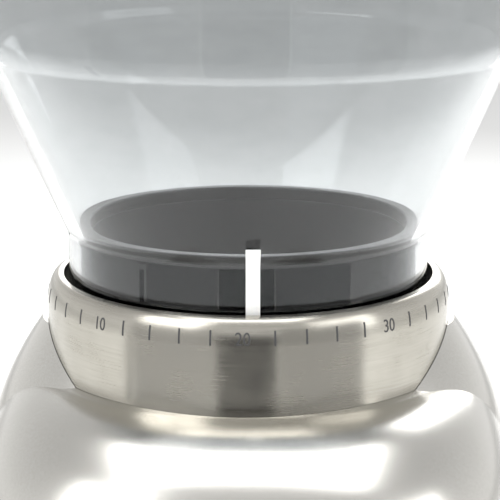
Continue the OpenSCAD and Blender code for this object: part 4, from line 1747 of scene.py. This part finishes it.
@dataclass
class Studio:
    """The floor, the lights, the cards that metal mirrors, and the camera."""

    datum: Datum
    azimuth: float = 1.4
    elevation: float = 13.0
    distance: float = 450.0
    lens: float = 141.0
    aim_x: float = 0.4
    aim_lift: float = 4.3
    horizon: float = 1.0
    ceiling: float = 0.5

    def build(self) -> None:
        """Builds the studio."""
        self.camera()
        self.floor()
        self.world()
        self.lamp("key_light", (-900, -900, 1100), 900, 9)
        self.lamp("fill_light", (1100, -700, 700), 900, 5)
        self.lamp("top_light", (0, -150, 1400), 1000, 16)
        self.lamp("back_light", (200, 1100, 900), 1000, 8)
        self.card("front_card", 0.5, 16.5, 480, 2, 290, 0.012)
        self.card("right_card", 42.0, 24.0, 500, 2, 420, 0.4)
        self.card("left_card", -40.0, 23.0, 500, 2, 420, 0.48)
        self.card("left_line_card", -66.0, 1.8, 480, 2, 140, 0.05)
        self.card("edge_card", -168.0, 7.0, 400, 2, 190, 0.02)

    def spot(self, azimuth: float, elevation: float, distance: float, about: Vector) -> Vector:
        """Gives a point seen from another.

        Args:
            azimuth: Turn from the front, in degrees.
            elevation: Angle above the level, in degrees.
            distance: How far away it is, in mm.
            about: The point that it is seen from, in mm.

        Returns:
            The point in mm.
        """
        a, e = math.radians(azimuth), math.radians(elevation)
        way = Vector((math.sin(a) * math.cos(e), -math.cos(a) * math.cos(e), math.sin(e)))
        return about + way * distance

    def camera(self) -> None:
        """Sets the camera at the known viewing angle."""
        target = Vector((self.aim_x, self.datum.axis_y, high("dial_collar").z + self.aim_lift))
        place = self.spot(self.azimuth, self.elevation, self.distance, target)
        deselect()
        bpy.ops.object.camera_add(location=place * MM)
        camera = bpy.context.object
        camera.name = "camera"
        camera.rotation_mode = "QUATERNION"
        camera.rotation_quaternion = (target - place).to_track_quat("-Z", "Y")
        camera.data.lens = self.lens
        camera.data.sensor_width = 36.0
        camera.data.clip_start = 0.02
        camera.data.clip_end = 50.0
        bpy.context.scene.camera = camera

    def matte(self, name: str, colour: str) -> bpy.types.Material:
        """Makes a plain matte paint for the stage.

        Args:
            name: The paint's name.
            colour: Its colour, as six hex digits after a #.

        Returns:
            The material.
        """
        material = bpy.data.materials.new(name)
        material.use_nodes = True
        shader = material.node_tree.nodes["Principled BSDF"]
        shader.inputs["Base Color"].default_value = linear(colour)
        shader.inputs["Roughness"].default_value = 0.9
        shader.inputs["Specular IOR Level"].default_value = 0.1
        return material

    def floor(self) -> None:
        """Lays a wide pale floor."""
        deselect()
        bpy.ops.mesh.primitive_plane_add(size=16.0, location=(0, 0, 0))
        piece = bpy.context.object
        piece.name = "floor"
        piece.data.materials.append(self.matte("pale_floor", "#F6F6F5"))

    def world(self) -> None:
        """Sets an even white surround and a plain view of it."""
        world = bpy.data.worlds.new("surround")
        world.use_nodes = True
        tree = world.node_tree
        tree.nodes.clear()
        way = add_node(tree, "ShaderNodeTexCoord").outputs["Generated"]
        height = add_node(tree, "ShaderNodeSeparateXYZ", {}, {"Vector": way}).outputs["Z"]
        level = add_node(
            tree,
            "ShaderNodeMapRange",
            {"From Min": 0.0, "From Max": 0.9, "To Min": self.horizon, "To Max": self.ceiling},
            {"Value": height},
        ).outputs["Result"]
        room = add_node(tree, "ShaderNodeBackground", {"Color": linear("#FFFFFF")}, {"Strength": level})
        backdrop = add_node(tree, "ShaderNodeBackground", {"Color": linear("#FFFFFF"), "Strength": 1.0})
        seen = add_node(tree, "ShaderNodeLightPath").outputs["Is Camera Ray"]
        both = add_node(
            tree,
            "ShaderNodeMixShader",
            {},
            {0: seen, 1: room.outputs["Background"], 2: backdrop.outputs["Background"]},
        )
        add_node(tree, "ShaderNodeOutputWorld", {}, {"Surface": both.outputs["Shader"]})
        bpy.context.scene.world = world
        bpy.context.scene.view_settings.view_transform = "Standard"

    def lamp(self, name: str, place: Triple, size: float, power: float) -> None:
        """Hangs a soft square lamp that faces the collar.

        Args:
            name: The lamp's name.
            place: Its middle, in mm.
            size: Its side, in mm.
            power: Its power in watts.
        """
        deselect()
        bpy.ops.object.light_add(type="AREA", location=Vector(place) * MM)
        lamp = bpy.context.object
        lamp.name = name
        lamp.data.shape = "SQUARE"
        lamp.data.size = size * MM
        lamp.data.energy = power
        target = Vector(self.datum.on_axis(high("dial_collar").z))
        lamp.rotation_mode = "QUATERNION"
        lamp.rotation_quaternion = (target - Vector(place)).to_track_quat("-Z", "Y")

    def card(
        self, name: str, azimuth: float, half_angle: float, distance: float, z0: float, z1: float, grey: float
    ) -> None:
        """Stands a dark card round the object, seen only in mirrors.

        Args:
            name: The card's name.
            azimuth: Where it stands, in degrees from the front.
            half_angle: Half of the angle that it covers, in degrees.
            distance: How far from the axis it stands, in mm.
            z0: Its lower edge, in mm.
            z1: Its upper edge, in mm.
            grey: How bright it is.
        """
        piece = blank(name)
        bpy.ops.mesh.primitive_plane_add(size=MM)
        half = distance * math.tan(math.radians(half_angle))
        bpy.ops.transform.resize(value=(2 * half, z1 - z0, 1))
        deselect()
        middle = self.spot(azimuth, 0, distance, Vector(self.datum.on_axis((z0 + z1) / 2)))
        stand = Matrix.Translation(middle * MM) @ Matrix.Rotation(math.radians(azimuth), 4, "Z")
        piece.data.transform(stand @ Matrix.Rotation(math.pi / 2, 4, "X"))
        material = bpy.data.materials.new(name)
        material.use_nodes = True
        material.node_tree.nodes.clear()
        glow = add_node(material.node_tree, "ShaderNodeEmission", {"Color": (grey, grey, grey, 1.0)})
        add_node(material.node_tree, "ShaderNodeOutputMaterial", {}, {"Surface": glow.outputs["Emission"]})
        piece.data.materials.append(material)
        piece.visible_camera = False
        piece.visible_diffuse = False
        piece.visible_shadow = False
        piece.visible_transmission = False


def main() -> None:
    """Builds the looks round the frame."""
    logging.basicConfig(level=logging.INFO, format="%(name)s: %(message)s")
    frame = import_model()
    datum = Datum.read()
    Studio(datum).build()
    dress_inside(frame)
    for part in (Base(datum), Column(datum), Head(datum), Dial(datum), Hopper(datum), Bin(datum)):
        part.build()
        LOG.info("%s done", type(part).__name__)
    deselect()


if __name__ == "__main__":
    main()
